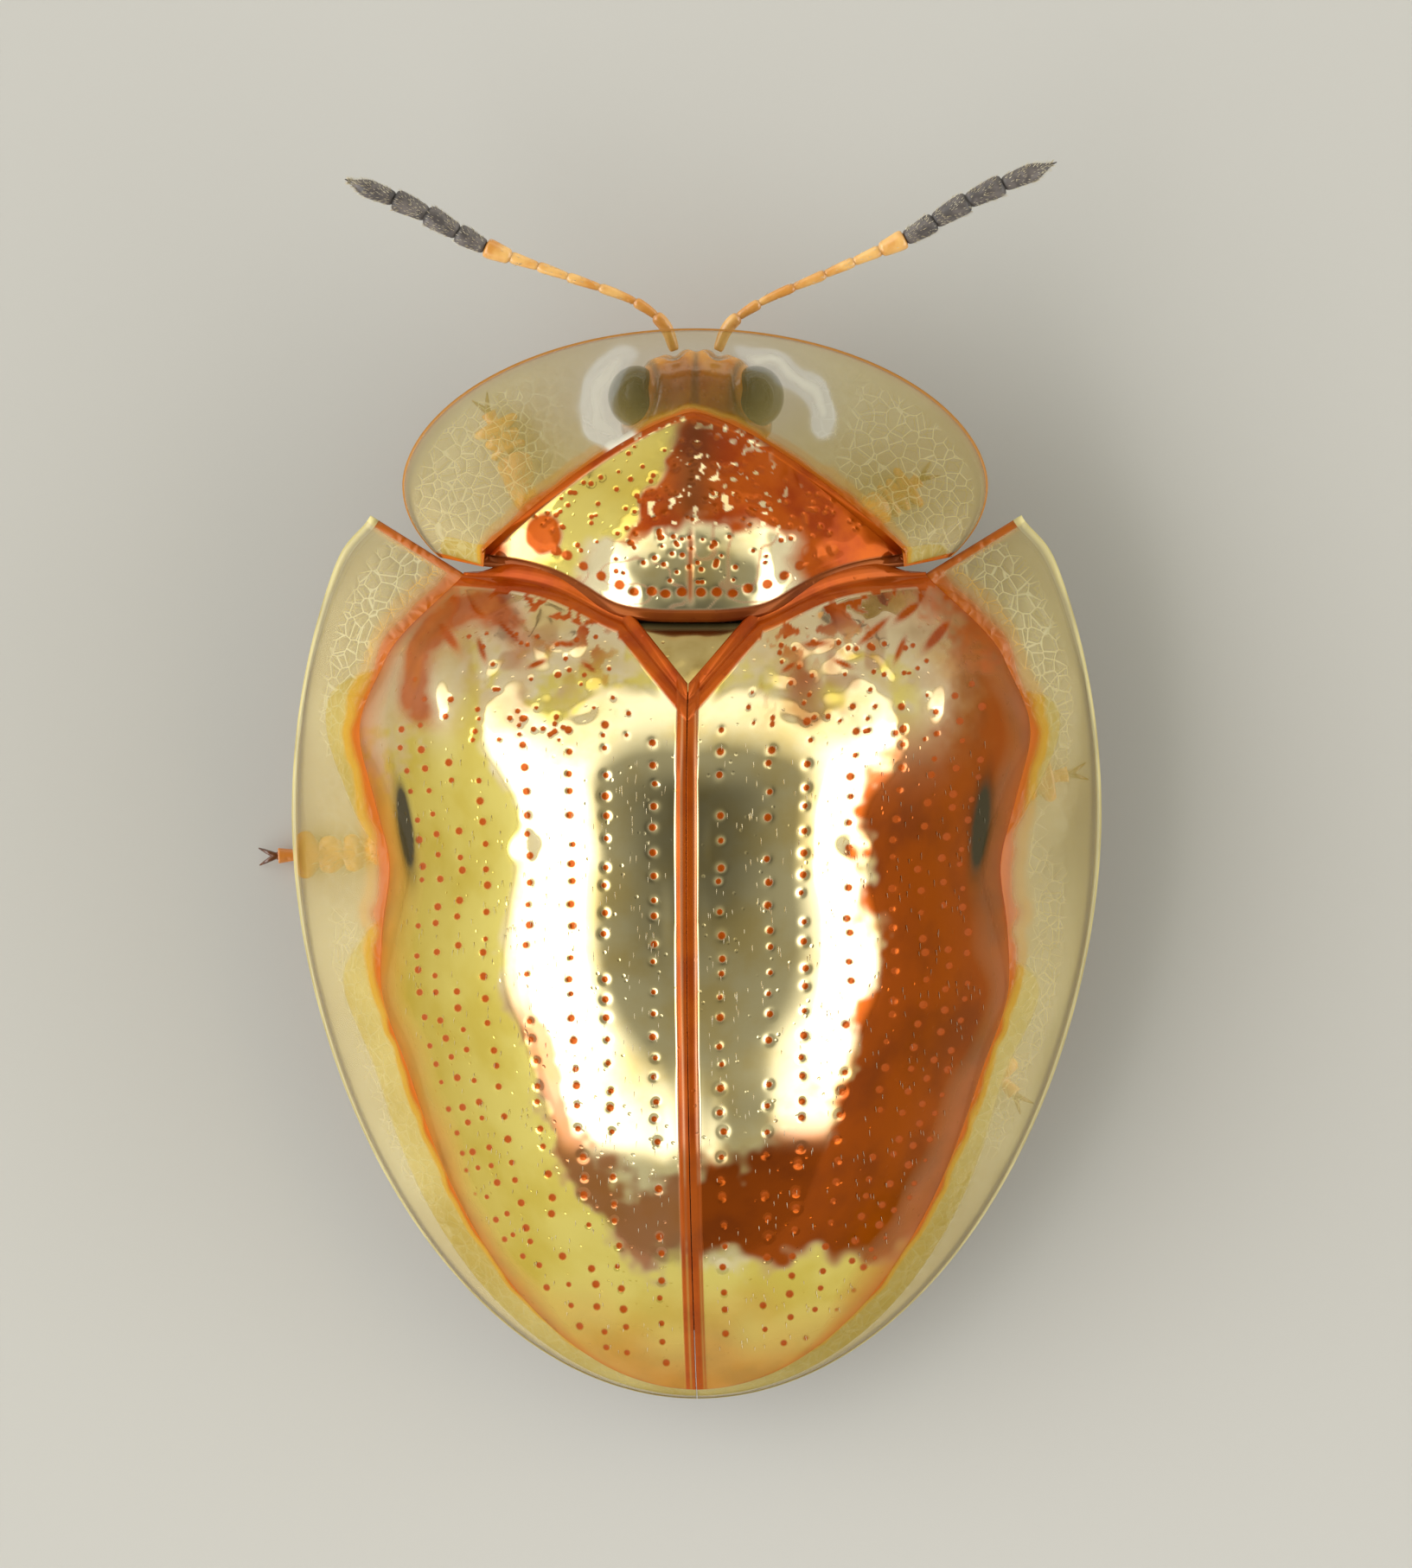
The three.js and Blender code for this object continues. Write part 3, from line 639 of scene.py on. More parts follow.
    def shield_height(self, x: Array, y: Array) -> Array:
        """Height of the shield's disc: a quarter sine from its front edge to its hind edge."""
        front = self.shield_disc_front_at(x)
        v = np.clip((y - front) / (self.hind_margin(x) - front), 0, 1)
        hind = self.dome_height(x, self.hind_margin(x)) + self.shield_hind_lift
        rise = np.sin(v * math.pi / 2) ** self.shield_dome_power
        return mix(self.shield_front_height_at(x), hind, rise)

    def shield_outline(self, angle: Array) -> Pair:
        """Rim of the shield at an angle, 0 at its front."""
        lean = np.cos(angle)
        ahead = self.shield_widest_at * (1 - np.maximum(lean, 0) ** (2 / self.outline_power))
        behind = self.shield_widest_at - self.shield_rear * lean
        return self.shield_half * np.sin(angle), np.where(lean >= 0, ahead, behind)

    def film(self, inner: Triple, outer: Triple, v: Array, shell: float = 0.0) -> Triple:
        """A clear margin: straight in plan, hollowed as (1 - v)^1.4 in height, thinner at its rim.

        Args:
            inner: places and heights of the inner edge.
            outer: those of the outer edge.
            v: (1, m) shares of the way outwards.
            shell: how far it lies below the surface, times 1 - 0.8 v^12.

        Returns:
            Places across and along, and heights, each (n, m).
        """
        x, y = (mix(a[:, None], b[:, None], v) for a, b in zip(inner[:2], outer[:2]))
        low, high = outer[2][:, None], inner[2][:, None]
        return x, y, low + (high - low) * (1 - v) ** self.hollow_power - shell * (1 - 0.8 * v**12)


FORM = Form()


@dataclass
class Graph:
    """Adds nodes to a node tree and wires them."""

    tree: Tree

    def feed(self, socket: Socket, value: object) -> None:
        """Links a socket to an input, or sets the input's own value."""
        if isinstance(value, Socket):
            self.tree.links.new(value, socket)
        elif isinstance(value, tuple) and len(value) == 3 and socket.type == "RGBA":
            socket.default_value = (*value, 1.0)
        else:
            socket.default_value = value

    def node(self, kind: str, inputs: dict | None = None, **settings: object) -> bpy.types.Node:
        """Adds a node.

        Args:
            kind: the node's class.
            inputs: values or sockets for its inputs, by name or place.
            settings: the node's own properties.

        Returns:
            The node.
        """
        node = self.tree.nodes.new(kind)
        for name, value in settings.items():
            setattr(node, name, value)
        for name, value in (inputs or {}).items():
            self.feed(node.inputs[name], value)
        return node

    def math(self, operation: str, *values: object) -> Socket:
        """A Math node's result."""
        node = self.node("ShaderNodeMath", dict(enumerate(values)), operation=operation)
        return node.outputs[0]

    def ramp(self, value: object, low: float, high: float, start: float = 0.0, end: float = 1.0):
        """A smooth Map Range from low..high to start..end."""
        inputs = {"Value": value, "From Min": low, "From Max": high, "To Min": start, "To Max": end}
        node = self.node("ShaderNodeMapRange", inputs, interpolation_type="SMOOTHSTEP")
        return node.outputs["Result"]

    def blend(self, share: object, start: object, end: object) -> Socket:
        """A colour between two colours."""
        node = self.node("ShaderNodeMix", {0: share, 6: start, 7: end}, data_type="RGBA")
        return node.outputs[2]

    def value_of(self, name: str) -> Socket:
        """A point value of the mesh."""
        return self.node("ShaderNodeAttribute", attribute_name=name).outputs["Fac"]

    def effect(self, group: Tree, **inputs: object) -> bpy.types.Node:
        """A shared effect, with underscores in its input names read as spaces."""
        node = self.tree.nodes.new("ShaderNodeGroup")
        node.node_tree = group
        for name, value in inputs.items():
            self.feed(node.inputs[name.replace("_", " ")], value)
        return node


def new_group(
    name: str, inputs: dict[str, float | Colour], outputs: dict[str, str]
) -> tuple[Graph, dict, dict, Socket]:
    """Starts a shader node group with named sockets.

    Args:
        name: the group's name.
        inputs: default of each input; three numbers make a colour.
        outputs: socket class of each output.

    Returns:
        The graph, its input and output sockets by name, and the piece's own coordinates.
    """
    tree = bpy.data.node_groups.new(name, "ShaderNodeTree")
    for key, value in inputs.items():
        kind = "NodeSocketColor" if isinstance(value, tuple) else "NodeSocketFloat"
        socket = tree.interface.new_socket(key, in_out="INPUT", socket_type=kind)
        socket.default_value = (*value, 1.0) if isinstance(value, tuple) else value
    for key, kind in outputs.items():
        tree.interface.new_socket(key, in_out="OUTPUT", socket_type=kind)
    graph = Graph(tree)
    given = graph.node("NodeGroupInput").outputs
    made = graph.node("NodeGroupOutput").inputs
    return graph, given, made, graph.node("ShaderNodeTexCoord").outputs["Object"]


def mottle_group() -> Tree:
    """Two colours blended in soft patches by layered noise on the piece's own coordinates."""
    inputs = {"Light": (0.8, 0.7, 0.4), "Dark": (0.5, 0.4, 0.2), "Scale": 3000.0, "Balance": 0.5}
    outputs = {"Color": "NodeSocketColor", "Mask": "NodeSocketFloat"}
    graph, given, made, place = new_group("soft mottling", inputs, outputs)
    noise = graph.node("ShaderNodeTexNoise", {"Vector": place, "Scale": given["Scale"], "Detail": 4.0})
    shifted = graph.math("ADD", noise.outputs["Fac"], graph.math("SUBTRACT", given["Balance"], 0.5))
    mask = graph.ramp(shifted, 0.35, 0.65)
    graph.feed(made["Color"], graph.blend(mask, given["Light"], given["Dark"]))
    graph.feed(made["Mask"], mask)
    return graph.tree


def cell_group() -> Tree:
    """A net of rounded cells: bright lines along the borders of a warped Voronoi pattern."""
    inputs = {"Scale": 7000.0, "Line": 0.08, "Warp": 0.00002}
    outputs = {"Line": "NodeSocketFloat", "Height": "NodeSocketFloat"}
    graph, given, made, place = new_group("cell net", inputs, outputs)
    noise = graph.node("ShaderNodeTexNoise", {"Vector": place, "Scale": 4000.0, "Detail": 1.0})
    shift = {0: noise.outputs["Color"], "Scale": given["Warp"]}
    warp = graph.node("ShaderNodeVectorMath", shift, operation="SCALE")
    moved = graph.node("ShaderNodeVectorMath", {0: place, 1: warp.outputs[0]}, operation="ADD").outputs[0]
    voronoi = graph.node(
        "ShaderNodeTexVoronoi", {"Vector": moved, "Scale": given["Scale"]}, feature="DISTANCE_TO_EDGE"
    )
    distance = voronoi.outputs["Distance"]
    line = graph.math("SUBTRACT", 1.0, graph.math("DIVIDE", distance, given["Line"]))
    graph.feed(made["Line"], graph.ramp(line, 0.0, 1.0))
    graph.feed(made["Height"], graph.ramp(distance, 0.0, 0.35))
    return graph.tree


def speck_group() -> Tree:
    """Small round dimples, one in each Voronoi cell, on the piece's own coordinates."""
    inputs = {"Scale": 9000.0, "Size": 0.2}
    outputs = {"Speck": "NodeSocketFloat"}
    graph, given, made, place = new_group("fine dimples", inputs, outputs)
    voronoi = graph.node("ShaderNodeTexVoronoi", {"Vector": place, "Scale": given["Scale"]})
    near = graph.math("DIVIDE", voronoi.outputs["Distance"], given["Size"])
    graph.feed(made["Speck"], graph.ramp(near, 1.0, 0.2))
    return graph.tree


@dataclass
class Effects:
    """The shared node groups, built once."""

    mottle: Tree = field(default_factory=mottle_group)
    cells: Tree = field(default_factory=cell_group)
    specks: Tree = field(default_factory=speck_group)


class Skin(Graph):
    """A new material's graph, with one Principled shader."""

    def __init__(self, name: str) -> None:
        """Args:
            name: the finish's name.
        """
        self.material = bpy.data.materials.new(name)
        self.material.use_nodes = True
        super().__init__(self.material.node_tree)
        self.tree.nodes.clear()
        self.shader = self.node("ShaderNodeBsdfPrincipled")
        output = self.node("ShaderNodeOutputMaterial")
        self.feed(output.inputs["Surface"], self.shader.outputs["BSDF"])

    def wear(self, **inputs: object) -> None:
        """Links or sets the shader's own inputs, with underscores in their names read as spaces."""
        for name, value in inputs.items():
            self.feed(self.shader.inputs[name.replace("_", " ")], value)

    def bump(self, height: object, distance: float, strength: float) -> None:
        """Feeds a height, whose full step is distance metres, to the shader's normal."""
        inputs = {"Height": height, "Distance": distance, "Strength": strength}
        self.wear(Normal=self.node("ShaderNodeBump", inputs).outputs["Normal"])


@dataclass(frozen=True)
class GoldFinish:
    """Mirror gold under a clear coat, with amber and pit colours by point values, a lime tint that is painted
    reflection of the ground, and a russet tint that is partly the cuticle's own red-brown and partly painted
    dark reflection.
    """

    name: str = "mirror gold cuticle"
    gold: Colour = (0.97, 0.86, 0.56)
    gold_deep: Colour = (0.9, 0.72, 0.34)
    # The lime tint is painted reflection of the ground below the horizon; the russet tint is own red-brown and
    # painted dark reflection.
    lime: Colour = (0.93, 0.8, 0.22)
    reflected_lime_deep: Colour = (0.82, 0.66, 0.13)
    russet: Colour = (0.4, 0.08, 0.008)
    russet_and_reflection_deep: Colour = (0.27, 0.055, 0.01)
    amber: Colour = (0.44, 0.078, 0.003)
    amber_deep: Colour = (0.3, 0.035, 0.002)
    pit: Colour = (0.4, 0.07, 0.004)
    streak: Colour = (0.03, 0.028, 0.012)
    sheen_tint: Colour = (1.0, 0.68, 0.34)
    roughness: float = 0.09
    dullness: float = 0.7

    def build(self, effects: Effects) -> Material:
        """Args:
            effects: the shared node groups.

        Returns:
            The material.
        """
        skin = Skin(self.name)
        amber = skin.value_of("amber")
        pit = skin.value_of("pit")
        # The lime tint paints reflection of the ground, and the russet tint mixes own colour with painted dark
        # reflection.
        tints = (
            (None, self.gold, self.gold_deep, 2500.0),
            (skin.value_of("lime"), self.lime, self.reflected_lime_deep, 1800.0),
            (amber, self.amber, self.amber_deep, 3200.0),
            (skin.value_of("russet"), self.russet, self.russet_and_reflection_deep, 2200.0),
        )
        colour = None
        for share, light, dark, scale in tints:
            spot = skin.effect(effects.mottle, Light=light, Dark=dark, Scale=scale, Balance=0.45)
            tint = spot.outputs["Color"]
            colour = tint if share is None else skin.blend(share, colour, tint)
        bowl = skin.ramp(pit, 0.2, 0.6)
        streak = skin.value_of("streak")
        colour = skin.blend(bowl, colour, self.pit)
        colour = skin.blend(streak, colour, self.streak)
        dull = skin.math("MAXIMUM", skin.math("MAXIMUM", amber, streak), bowl)
        dull = skin.math("MULTIPLY", dull, self.dullness)
        specks = skin.effect(effects.specks, Scale=11000.0, Size=0.16).outputs["Speck"]
        rough = skin.math("MULTIPLY_ADD", specks, 0.15, self.roughness)
        skin.wear(Base_Color=colour, Metallic=skin.math("SUBTRACT", 1.0, dull), Roughness=rough)
        skin.wear(Specular_Tint=self.sheen_tint, Specular_IOR_Level=0.2)
        skin.wear(Coat_Weight=0.03, Coat_Roughness=0.03)
        skin.bump(skin.math("SUBTRACT", 1.0, specks), 4e-6, 0.5)
        return skin.material


@dataclass(frozen=True)
class ClearFinish:
    """See-through film with a cell net, an amber veil, a rim and painted glare by point value."""

    name: str = "clear margin film"
    film: Colour = (0.56, 0.42, 0.1)
    film_pale: Colour = (0.68, 0.56, 0.2)
    net: Colour = (0.74, 0.68, 0.36)
    amber: Colour = (0.52, 0.12, 0.004)
    honey: Colour = (0.7, 0.42, 0.05)
    rim: Colour = (0.86, 0.76, 0.36)
    # Pale colour of the painted glare: reflections painted on the film.
    cloud: Colour = (0.95, 0.93, 0.8)
    sheen_tint: Colour = (1.0, 0.9, 0.66)
    cover: float = 0.4

    def build(self, effects: Effects) -> Material:
        """Args:
            effects: the shared node groups.

        Returns:
            The material.
        """
        skin = Skin(self.name)
        film = skin.effect(effects.mottle, Light=self.film_pale, Dark=self.film, Scale=900.0, Balance=0.5)
        cells = skin.effect(effects.cells, Scale=12000.0, Line=0.08)
        netted = skin.value_of("netted")
        lines = skin.math("MULTIPLY", cells.outputs["Line"], netted)
        colour = skin.blend(lines, film.outputs["Color"], self.net)
        gloss = skin.node("ShaderNodeFresnel", {"IOR": 1.5}).outputs["Fac"]
        film_cover = skin.math("MULTIPLY", skin.value_of("tinted"), self.cover)
        clear = skin.math("MAXIMUM", gloss, film_cover)
        cover = skin.math("ADD", skin.math("MULTIPLY", lines, 0.1), clear)
        veil = skin.blend(skin.ramp(skin.value_of("veil"), 0.2, 0.85), self.honey, self.amber)
        # The last layer is painted glare: pale reflections painted on the film.
        layers = (("veil", veil, 0.92), ("rim", self.rim, 0.75), ("cloud", self.cloud, 0.6))
        for name, tint, most in layers:
            share = skin.value_of(name)
            colour = skin.blend(skin.ramp(share, 0.0, 0.14), colour, tint)
            cover = skin.math("MAXIMUM", cover, skin.math("MULTIPLY", share, most))
        skin.wear(Base_Color=colour, Alpha=cover, Roughness=0.1, IOR=1.42, Specular_Tint=self.sheen_tint)
        skin.bump(skin.math("MULTIPLY", cells.outputs["Height"], netted), 8e-6, 0.6)
        return skin.material


@dataclass(frozen=True)
class ShellFinish:
    """Glossy cuticle of two colours in soft patches, darker where the point value dark says so."""

    name: str
    light: Colour
    deep: Colour
    dark: Colour
    scale: float = 3000.0
    roughness: float = 0.28
    coat: float = 0.5
    bump: float = 3e-6
    grain: float = 24000.0

    def build(self, effects: Effects) -> Material:
        """Args:
            effects: the shared node groups.

        Returns:
            The material.
        """
        skin = Skin(self.name)
        tones = {"Light": self.light, "Dark": self.deep}
        patches = skin.effect(effects.mottle, **tones, Scale=self.scale, Balance=0.5)
        colour = skin.blend(skin.value_of("dark"), patches.outputs["Color"], self.dark)
        dimples = skin.effect(effects.specks, Scale=self.grain, Size=0.4).outputs["Speck"]
        rough = skin.math("MULTIPLY_ADD", dimples, 0.15, self.roughness)
        skin.wear(Base_Color=colour, Roughness=rough, Coat_Weight=self.coat, Coat_Roughness=0.08)
        skin.bump(skin.math("SUBTRACT", 1.0, dimples), self.bump, 0.6)
        return skin.material


@dataclass(frozen=True)
class EyeFinish:
    """Dark glossy eye with close facets."""

    name: str = "facetted eye"
    light: Colour = (0.022, 0.02, 0.019)
    deep: Colour = (0.007, 0.007, 0.008)

    def build(self, effects: Effects) -> Material:
        """Args:
            effects: the shared node groups.

        Returns:
            The material.
        """
        skin = Skin(self.name)
        facets = skin.effect(effects.cells, Scale=55000.0, Line=0.16, Warp=0.0)
        colour = skin.blend(facets.outputs["Line"], self.deep, self.light)
        skin.wear(Base_Color=colour, Roughness=0.16, Coat_Weight=0.6)
        skin.bump(facets.outputs["Height"], 3e-6, 0.8)
        return skin.material


@dataclass(frozen=True)
class PlainFinish:
    """Two colours in soft patches, without coat or relief."""

    name: str
    light: Colour
    deep: Colour
    scale: float
    roughness: float

    def build(self, effects: Effects) -> Material:
        """Args:
            effects: the shared node groups.

        Returns:
            The material.
        """
        skin = Skin(self.name)
        tones = {"Light": self.light, "Dark": self.deep}
        patches = skin.effect(effects.mottle, **tones, Scale=self.scale, Balance=0.5)
        skin.wear(Base_Color=patches.outputs["Color"], Roughness=self.roughness)
        return skin.material


# Light, deep and dark colour, scale of the patches, roughness and coat of each glossy shell
SHELLS = {
    "head": ((0.9, 0.36, 0.03), (0.6, 0.16, 0.012), (0.08, 0.03, 0.012), 4000.0, 0.22, 0.8),
    "feeler": ((0.86, 0.5, 0.16), (0.66, 0.28, 0.05), (0.26, 0.08, 0.015), 6000.0, 0.3, 0.6),
    "club": ((0.15, 0.13, 0.125), (0.07, 0.06, 0.06), (0.015, 0.012, 0.012), 14000.0, 0.5, 0.1),
    "leg": ((0.78, 0.34, 0.05), (0.6, 0.2, 0.025), (0.2, 0.06, 0.015), 3500.0, 0.3, 0.6),
    "claw": ((0.16, 0.05, 0.015), (0.07, 0.02, 0.008), (0.02, 0.01, 0.008), 9000.0, 0.2, 0.6),
    "belly": ((0.12, 0.05, 0.018), (0.05, 0.02, 0.008), (0.45, 0.2, 0.04), 1500.0, 0.26, 0.7),
}


@dataclass
class Finishes:
    """Every material of the scene, by the part that wears it."""

    effects: Effects

    def __post_init__(self) -> None:
        """Builds the materials."""
        self.gold = GoldFinish().build(self.effects)
        self.clear = ClearFinish().build(self.effects)
        self.shield_clear = ClearFinish("clear shield film", rim=(0.5, 0.22, 0.04)).build(self.effects)
        self.scutellum = GoldFinish(
            "scutellum cuticle", gold=(0.62, 0.48, 0.2), gold_deep=(0.36, 0.24, 0.06), roughness=0.16
        ).build(self.effects)
        self.shells = {
            part: ShellFinish(f"{part} cuticle", *look).build(self.effects) for part, look in SHELLS.items()
        }
        self.eye = EyeFinish().build(self.effects)
        down = PlainFinish("pale down", (0.72, 0.66, 0.5), (0.5, 0.42, 0.28), 9000.0, 0.35)
        floor = PlainFinish("pale floor", (0.55, 0.545, 0.53), (0.52, 0.515, 0.5), 40.0, 0.8)
        self.down = down.build(self.effects)
        self.floor = floor.build(self.effects)


def mirror_angle(height: Array, x: Array, y: Array) -> Triple:
    """Where a vertical ray goes after it meets a surface grid.

    The gradient g of the height gives the mirrored ray's angle from the vertical, 2 atan |g|.

    Args:
        height: (n, m) heights.
        x: (n, m) places across.
        y: (n, m) places along.

    Returns:
        The angle in degrees, and the share of the ray's bearing towards +x and towards +y.
    """
    hy, hx = np.gradient(height)
    xy, xx = np.gradient(x)
    yy, yx = np.gradient(y)
    area = xx * yy - xy * yx
    area = np.where(np.abs(area) < 1e-9, 1e-9, area)
    gx = (hx * yy - hy * yx) / area
    gy = (hy * xx - hx * xy) / area
    steep = np.hypot(gx, gy)
    return np.degrees(2 * np.arctan(steep)), -gx / (steep + 1e-6), -gy / (steep + 1e-6)


@dataclass
class WingCase:
    """One wing case: a gold disc with rows of pits, and its clear margin.

    Attributes:
        side: which side it covers.
        rows: rings along the disc.
        columns: points across its top.
        rows_of_pits: distance of each row of pits from the suture at the widest place.
        pit_pitch: distance between the pits of a row.
        pit_radius: mean half width of a pit.
        pit_depth: depth of a pit.
        edge_clear: strip along the disc's edge without pits or hairs.
        stray_count: number of pits strewn near the base.
        border: width of the orange border along the disc's front edge.
        apron: length of the strip that dips below the shield, and its drop.
        film: thickness of the clear margin.
        seta_count: number of fine hairs.
        dents: middle, long and wide reach, turn and height of each dent or welt near the base.
        strokes: middle, long and wide reach and turn of each red-orange stroke.
    """

    side: Side
    rows: int = 430
    columns: int = 172
    under_columns: int = 14
    shell: float = 0.09
    meeting: float = 0.003
    rows_of_pits: tuple[float, ...] = (0.2, 0.49, 0.7, 0.97, 1.24, 1.42, 1.56, 1.68)
    pit_pitch: float = 0.135
    pit_radius: float = 0.021
    pit_depth: float = 0.011
    pit_rows_start: float = 2.42
    pit_rows_end: float = 6.3
    edge_clear: float = 0.12
    stray_count: int = 46
    border: float = 0.075
    border_rise: float = 0.018
    apron: float = 0.11
    apron_drop: float = 0.09
    apron_rows: int = 6
    margin_rows: int = 560
    margin_columns: int = 46
    under_margin_columns: int = 16
    film: float = 0.045
    seta_count: int = 520
    last_angle: float = math.radians(66)
    dents: Rows = (
        (1.58, 2.12, 0.11, 0.27, 0.08, 0.14),
        (1.36, 2.2, 0.05, 0.16, 0.2, -0.014),
        (1.2, 1.72, 0.1, 0.045, 0.6, 0.02),
        (1.0, 1.86, 0.13, 0.03, -0.8, 0.022),
        (1.35, 1.8, 0.08, 0.05, 0.3, -0.014),
        (0.78, 1.98, 0.1, 0.04, -0.5, -0.016),
        (0.6, 2.12, 0.07, 0.05, 0.2, 0.014),
        (1.15, 2.1, 0.1, 0.05, 0.9, -0.014),
        (0.97, 3.13, 0.085, 0.065, 0.4, -0.028),
        (0.66, 1.9, 0.07, 0.05, 0.7, 0.016),
        (0.86, 2.2, 0.08, 0.06, -0.3, 0.016),
        (0.62, 2.34, 0.08, 0.05, 0.3, -0.012),
        (0.95, 2.4, 0.12, 0.05, -0.4, -0.012),
    )
    strokes: Rows = (
        (1.1, 1.84, 0.12, 0.02, -0.75),
        (1.3, 1.72, 0.1, 0.03, -0.7),
        (0.75, 1.92, 0.07, 0.018, -0.1),
        (1.48, 1.86, 0.13, 0.035, -0.9),
        (1.26, 1.95, 0.08, 0.018, -1.2),
        (0.92, 2.04, 0.06, 0.016, 0.4),
        (0.6, 2.06, 0.05, 0.016, -0.6),
    )

    def pit_places(self) -> Pair:
        """Centres and radii of the pits, in rows that bend in with the disc's edge."""
        rng = np.random.default_rng(SEED + 7 + self.side.value)
        places = []
        for k, out in enumerate(self.rows_of_pits):
            start = self.pit_rows_start + 0.1 * rng.random() - 0.04 * k
            y = np.arange(start, self.pit_rows_end, self.pit_pitch)
            y = y + rng.uniform(-0.03, 0.03, len(y))
            half = FORM.disc_half_width(y)
            narrowing = mix(1.0, half / FORM.disc_half, out / FORM.disc_half)
            x = out * narrowing + rng.uniform(-0.012, 0.012, len(y))
            keep = (x < half - self.edge_clear) & (rng.random(len(y)) > 0.06)
            places.append(np.stack([x[keep], y[keep]], axis=-1))
        strays = rng.uniform((0.35, 1.85), (1.45, 2.5), (self.stray_count, 2))
        clear = strays[:, 1] > FORM.base_line(strays[:, 0]) + 0.16
        places.append(strays[clear])
        centres = np.concatenate(places)
        sizes = rng.uniform(0.8, 1.25, len(centres))
        sizes[-int(clear.sum()) :] *= 0.7
        return centres, self.pit_radius * sizes

    def disc_grid(self) -> Pair:
        """Places of the disc's top: rows from its base line to its tip, columns from suture to edge."""
        first_x, first_y = FORM.disc_outline(np.array(FORM.base_angle()))
        last_x, last_y = FORM.disc_outline(np.array(self.last_angle))
        share = np.linspace(0, 1, self.columns) ** 1.2
        first_row = self.meeting + (first_x - self.meeting) * share
        last_row = self.meeting + (last_x - self.meeting) * share
        starts = FORM.base_line(first_row)
        reach = FORM.disc_end - FORM.widest_at
        arc = FORM.widest_at + reach * np.sqrt(1 - (last_row / FORM.disc_half) ** 2)
        ends = np.minimum(arc, last_y + 1 - last_row / last_x)
        along = 1 - (1 - np.linspace(0, 1, self.rows)) ** 1.12
        edge = FORM.disc_half_width(mix(first_y, last_y, along))
        x = self.meeting + (edge[:, None] - self.meeting) * share[None, :]
        y = starts[None, :] + (ends - starts)[None, :] * along[:, None]
        return x, y

    def disc(self) -> Patch:
        """The gold disc: dome, sutural ridge, base border, dents, waver and pits."""
        x, y = self.disc_grid()
        smooth_height = FORM.dome_height(x, y)
        seed = 10 if self.side is Side.LEFT else 30
        slant = np.sqrt(1 + np.gradient(FORM.base_line(x[0]), x[0]) ** 2)
        from_base = (y - FORM.base_line(x)) / slant[None, :]
        from_edge = (FORM.disc_half_width(y) - x) * 0.9
        ridge = mound(x, FORM.suture_half)
        border = mound(from_base - self.border * 0.5, self.border * 0.5)
        inside = smooth(x, 0.07, 0.16) * smooth(from_base, 0.08, 0.16) * smooth(from_edge, 0.02, 0.2)
        shoulder = bell(x, 1.05, 0.5) * bell(y, 1.85, 0.38)
        places, radii = self.pit_places()
        depth = pits(x, y, places, radii) * inside
        crumple = (waver(x, y, 0.09, seed) * 0.01 + waver(x, y, 0.19, seed + 1) * 0.026) * shoulder
        swell = waver(x, y, 0.42, seed + 2) * 0.007 + waver(x, y, 0.2, seed + 3) * 0.0016
        dents = sum(by * stroke(x, y, *place) for *place, by in self.dents)
        height = smooth_height + FORM.suture_rise * ridge + self.border_rise * border
        height = height + inside * (dents + crumple + swell) - self.pit_depth * depth
        values = self.disc_values(x, y, smooth_height, from_base, from_edge, depth, seed)
        top = self.with_apron(xyz(x, y, height))
        lower = xyz(x, y, smooth_height - self.shell)
        under = self.with_apron(lower[:, picks(self.columns, self.under_columns)])
        ahead = self.apron_rows
        values = {key: np.concatenate([v[:1].repeat(ahead, axis=0), v]) for key, v in values.items()}
        return plate(top, under, values).mirrored(self.side)

    def with_apron(self, surface: Array) -> Array:
        """Adds rows in front that dip below the shield's hind edge by a quarter circle."""
        t = np.linspace(1, 0, self.apron_rows, endpoint=False)[:, None]
        x = surface[:1, :, 0]
        reach = 1 - 0.85 * smooth(x, 1.08, 1.34)
        y = surface[:1, :, 1] - self.apron * reach * t
        z = surface[:1, :, 2] - self.apron_drop * reach * (1 - np.sqrt(1 - t**2))
        return np.concatenate([xyz(x, y, z), surface])

    def disc_values(
        self, x: Array, y: Array, height: Array, from_base: Array, from_edge: Array, depth: Array, seed: int
    ) -> dict[str, Array]:
        """Where the disc is amber, pitted or streaked, and where painted reflections lie: lime where the
        mirrored ray meets the ground, and russet that is partly own colour and partly painted dark reflection.

        Args:
            x: places across.
            y: places along.
            height: heights without detail.
            from_base: distance from the front edge.
            from_edge: distance from the side edge.
            depth: share of a pit's depth.
            seed: seed of the irregular borders.

        Returns:
            The named values of the gold finish.
        """
        # Painted reflections follow the mirrored ray: lime where it points below the horizon, russet where it
        # meets dim or dark surroundings.
        angle, out, back = mirror_angle(height, x, y)
        ragged = waver(x, y, 0.13, seed + 5) * 4 + waver(x, y, 0.05, seed + 6) * 2
        # Where the mirrored ray points below the horizon, for the painted lime reflection.
        low = smooth(angle + ragged, 86, 92)
        wide = 0.17 * (1 + 0.35 * waver(x, y, 0.3, seed + 9))
        edge_glow = np.clip(1 - from_edge / wide, 0, 1) ** 0.8
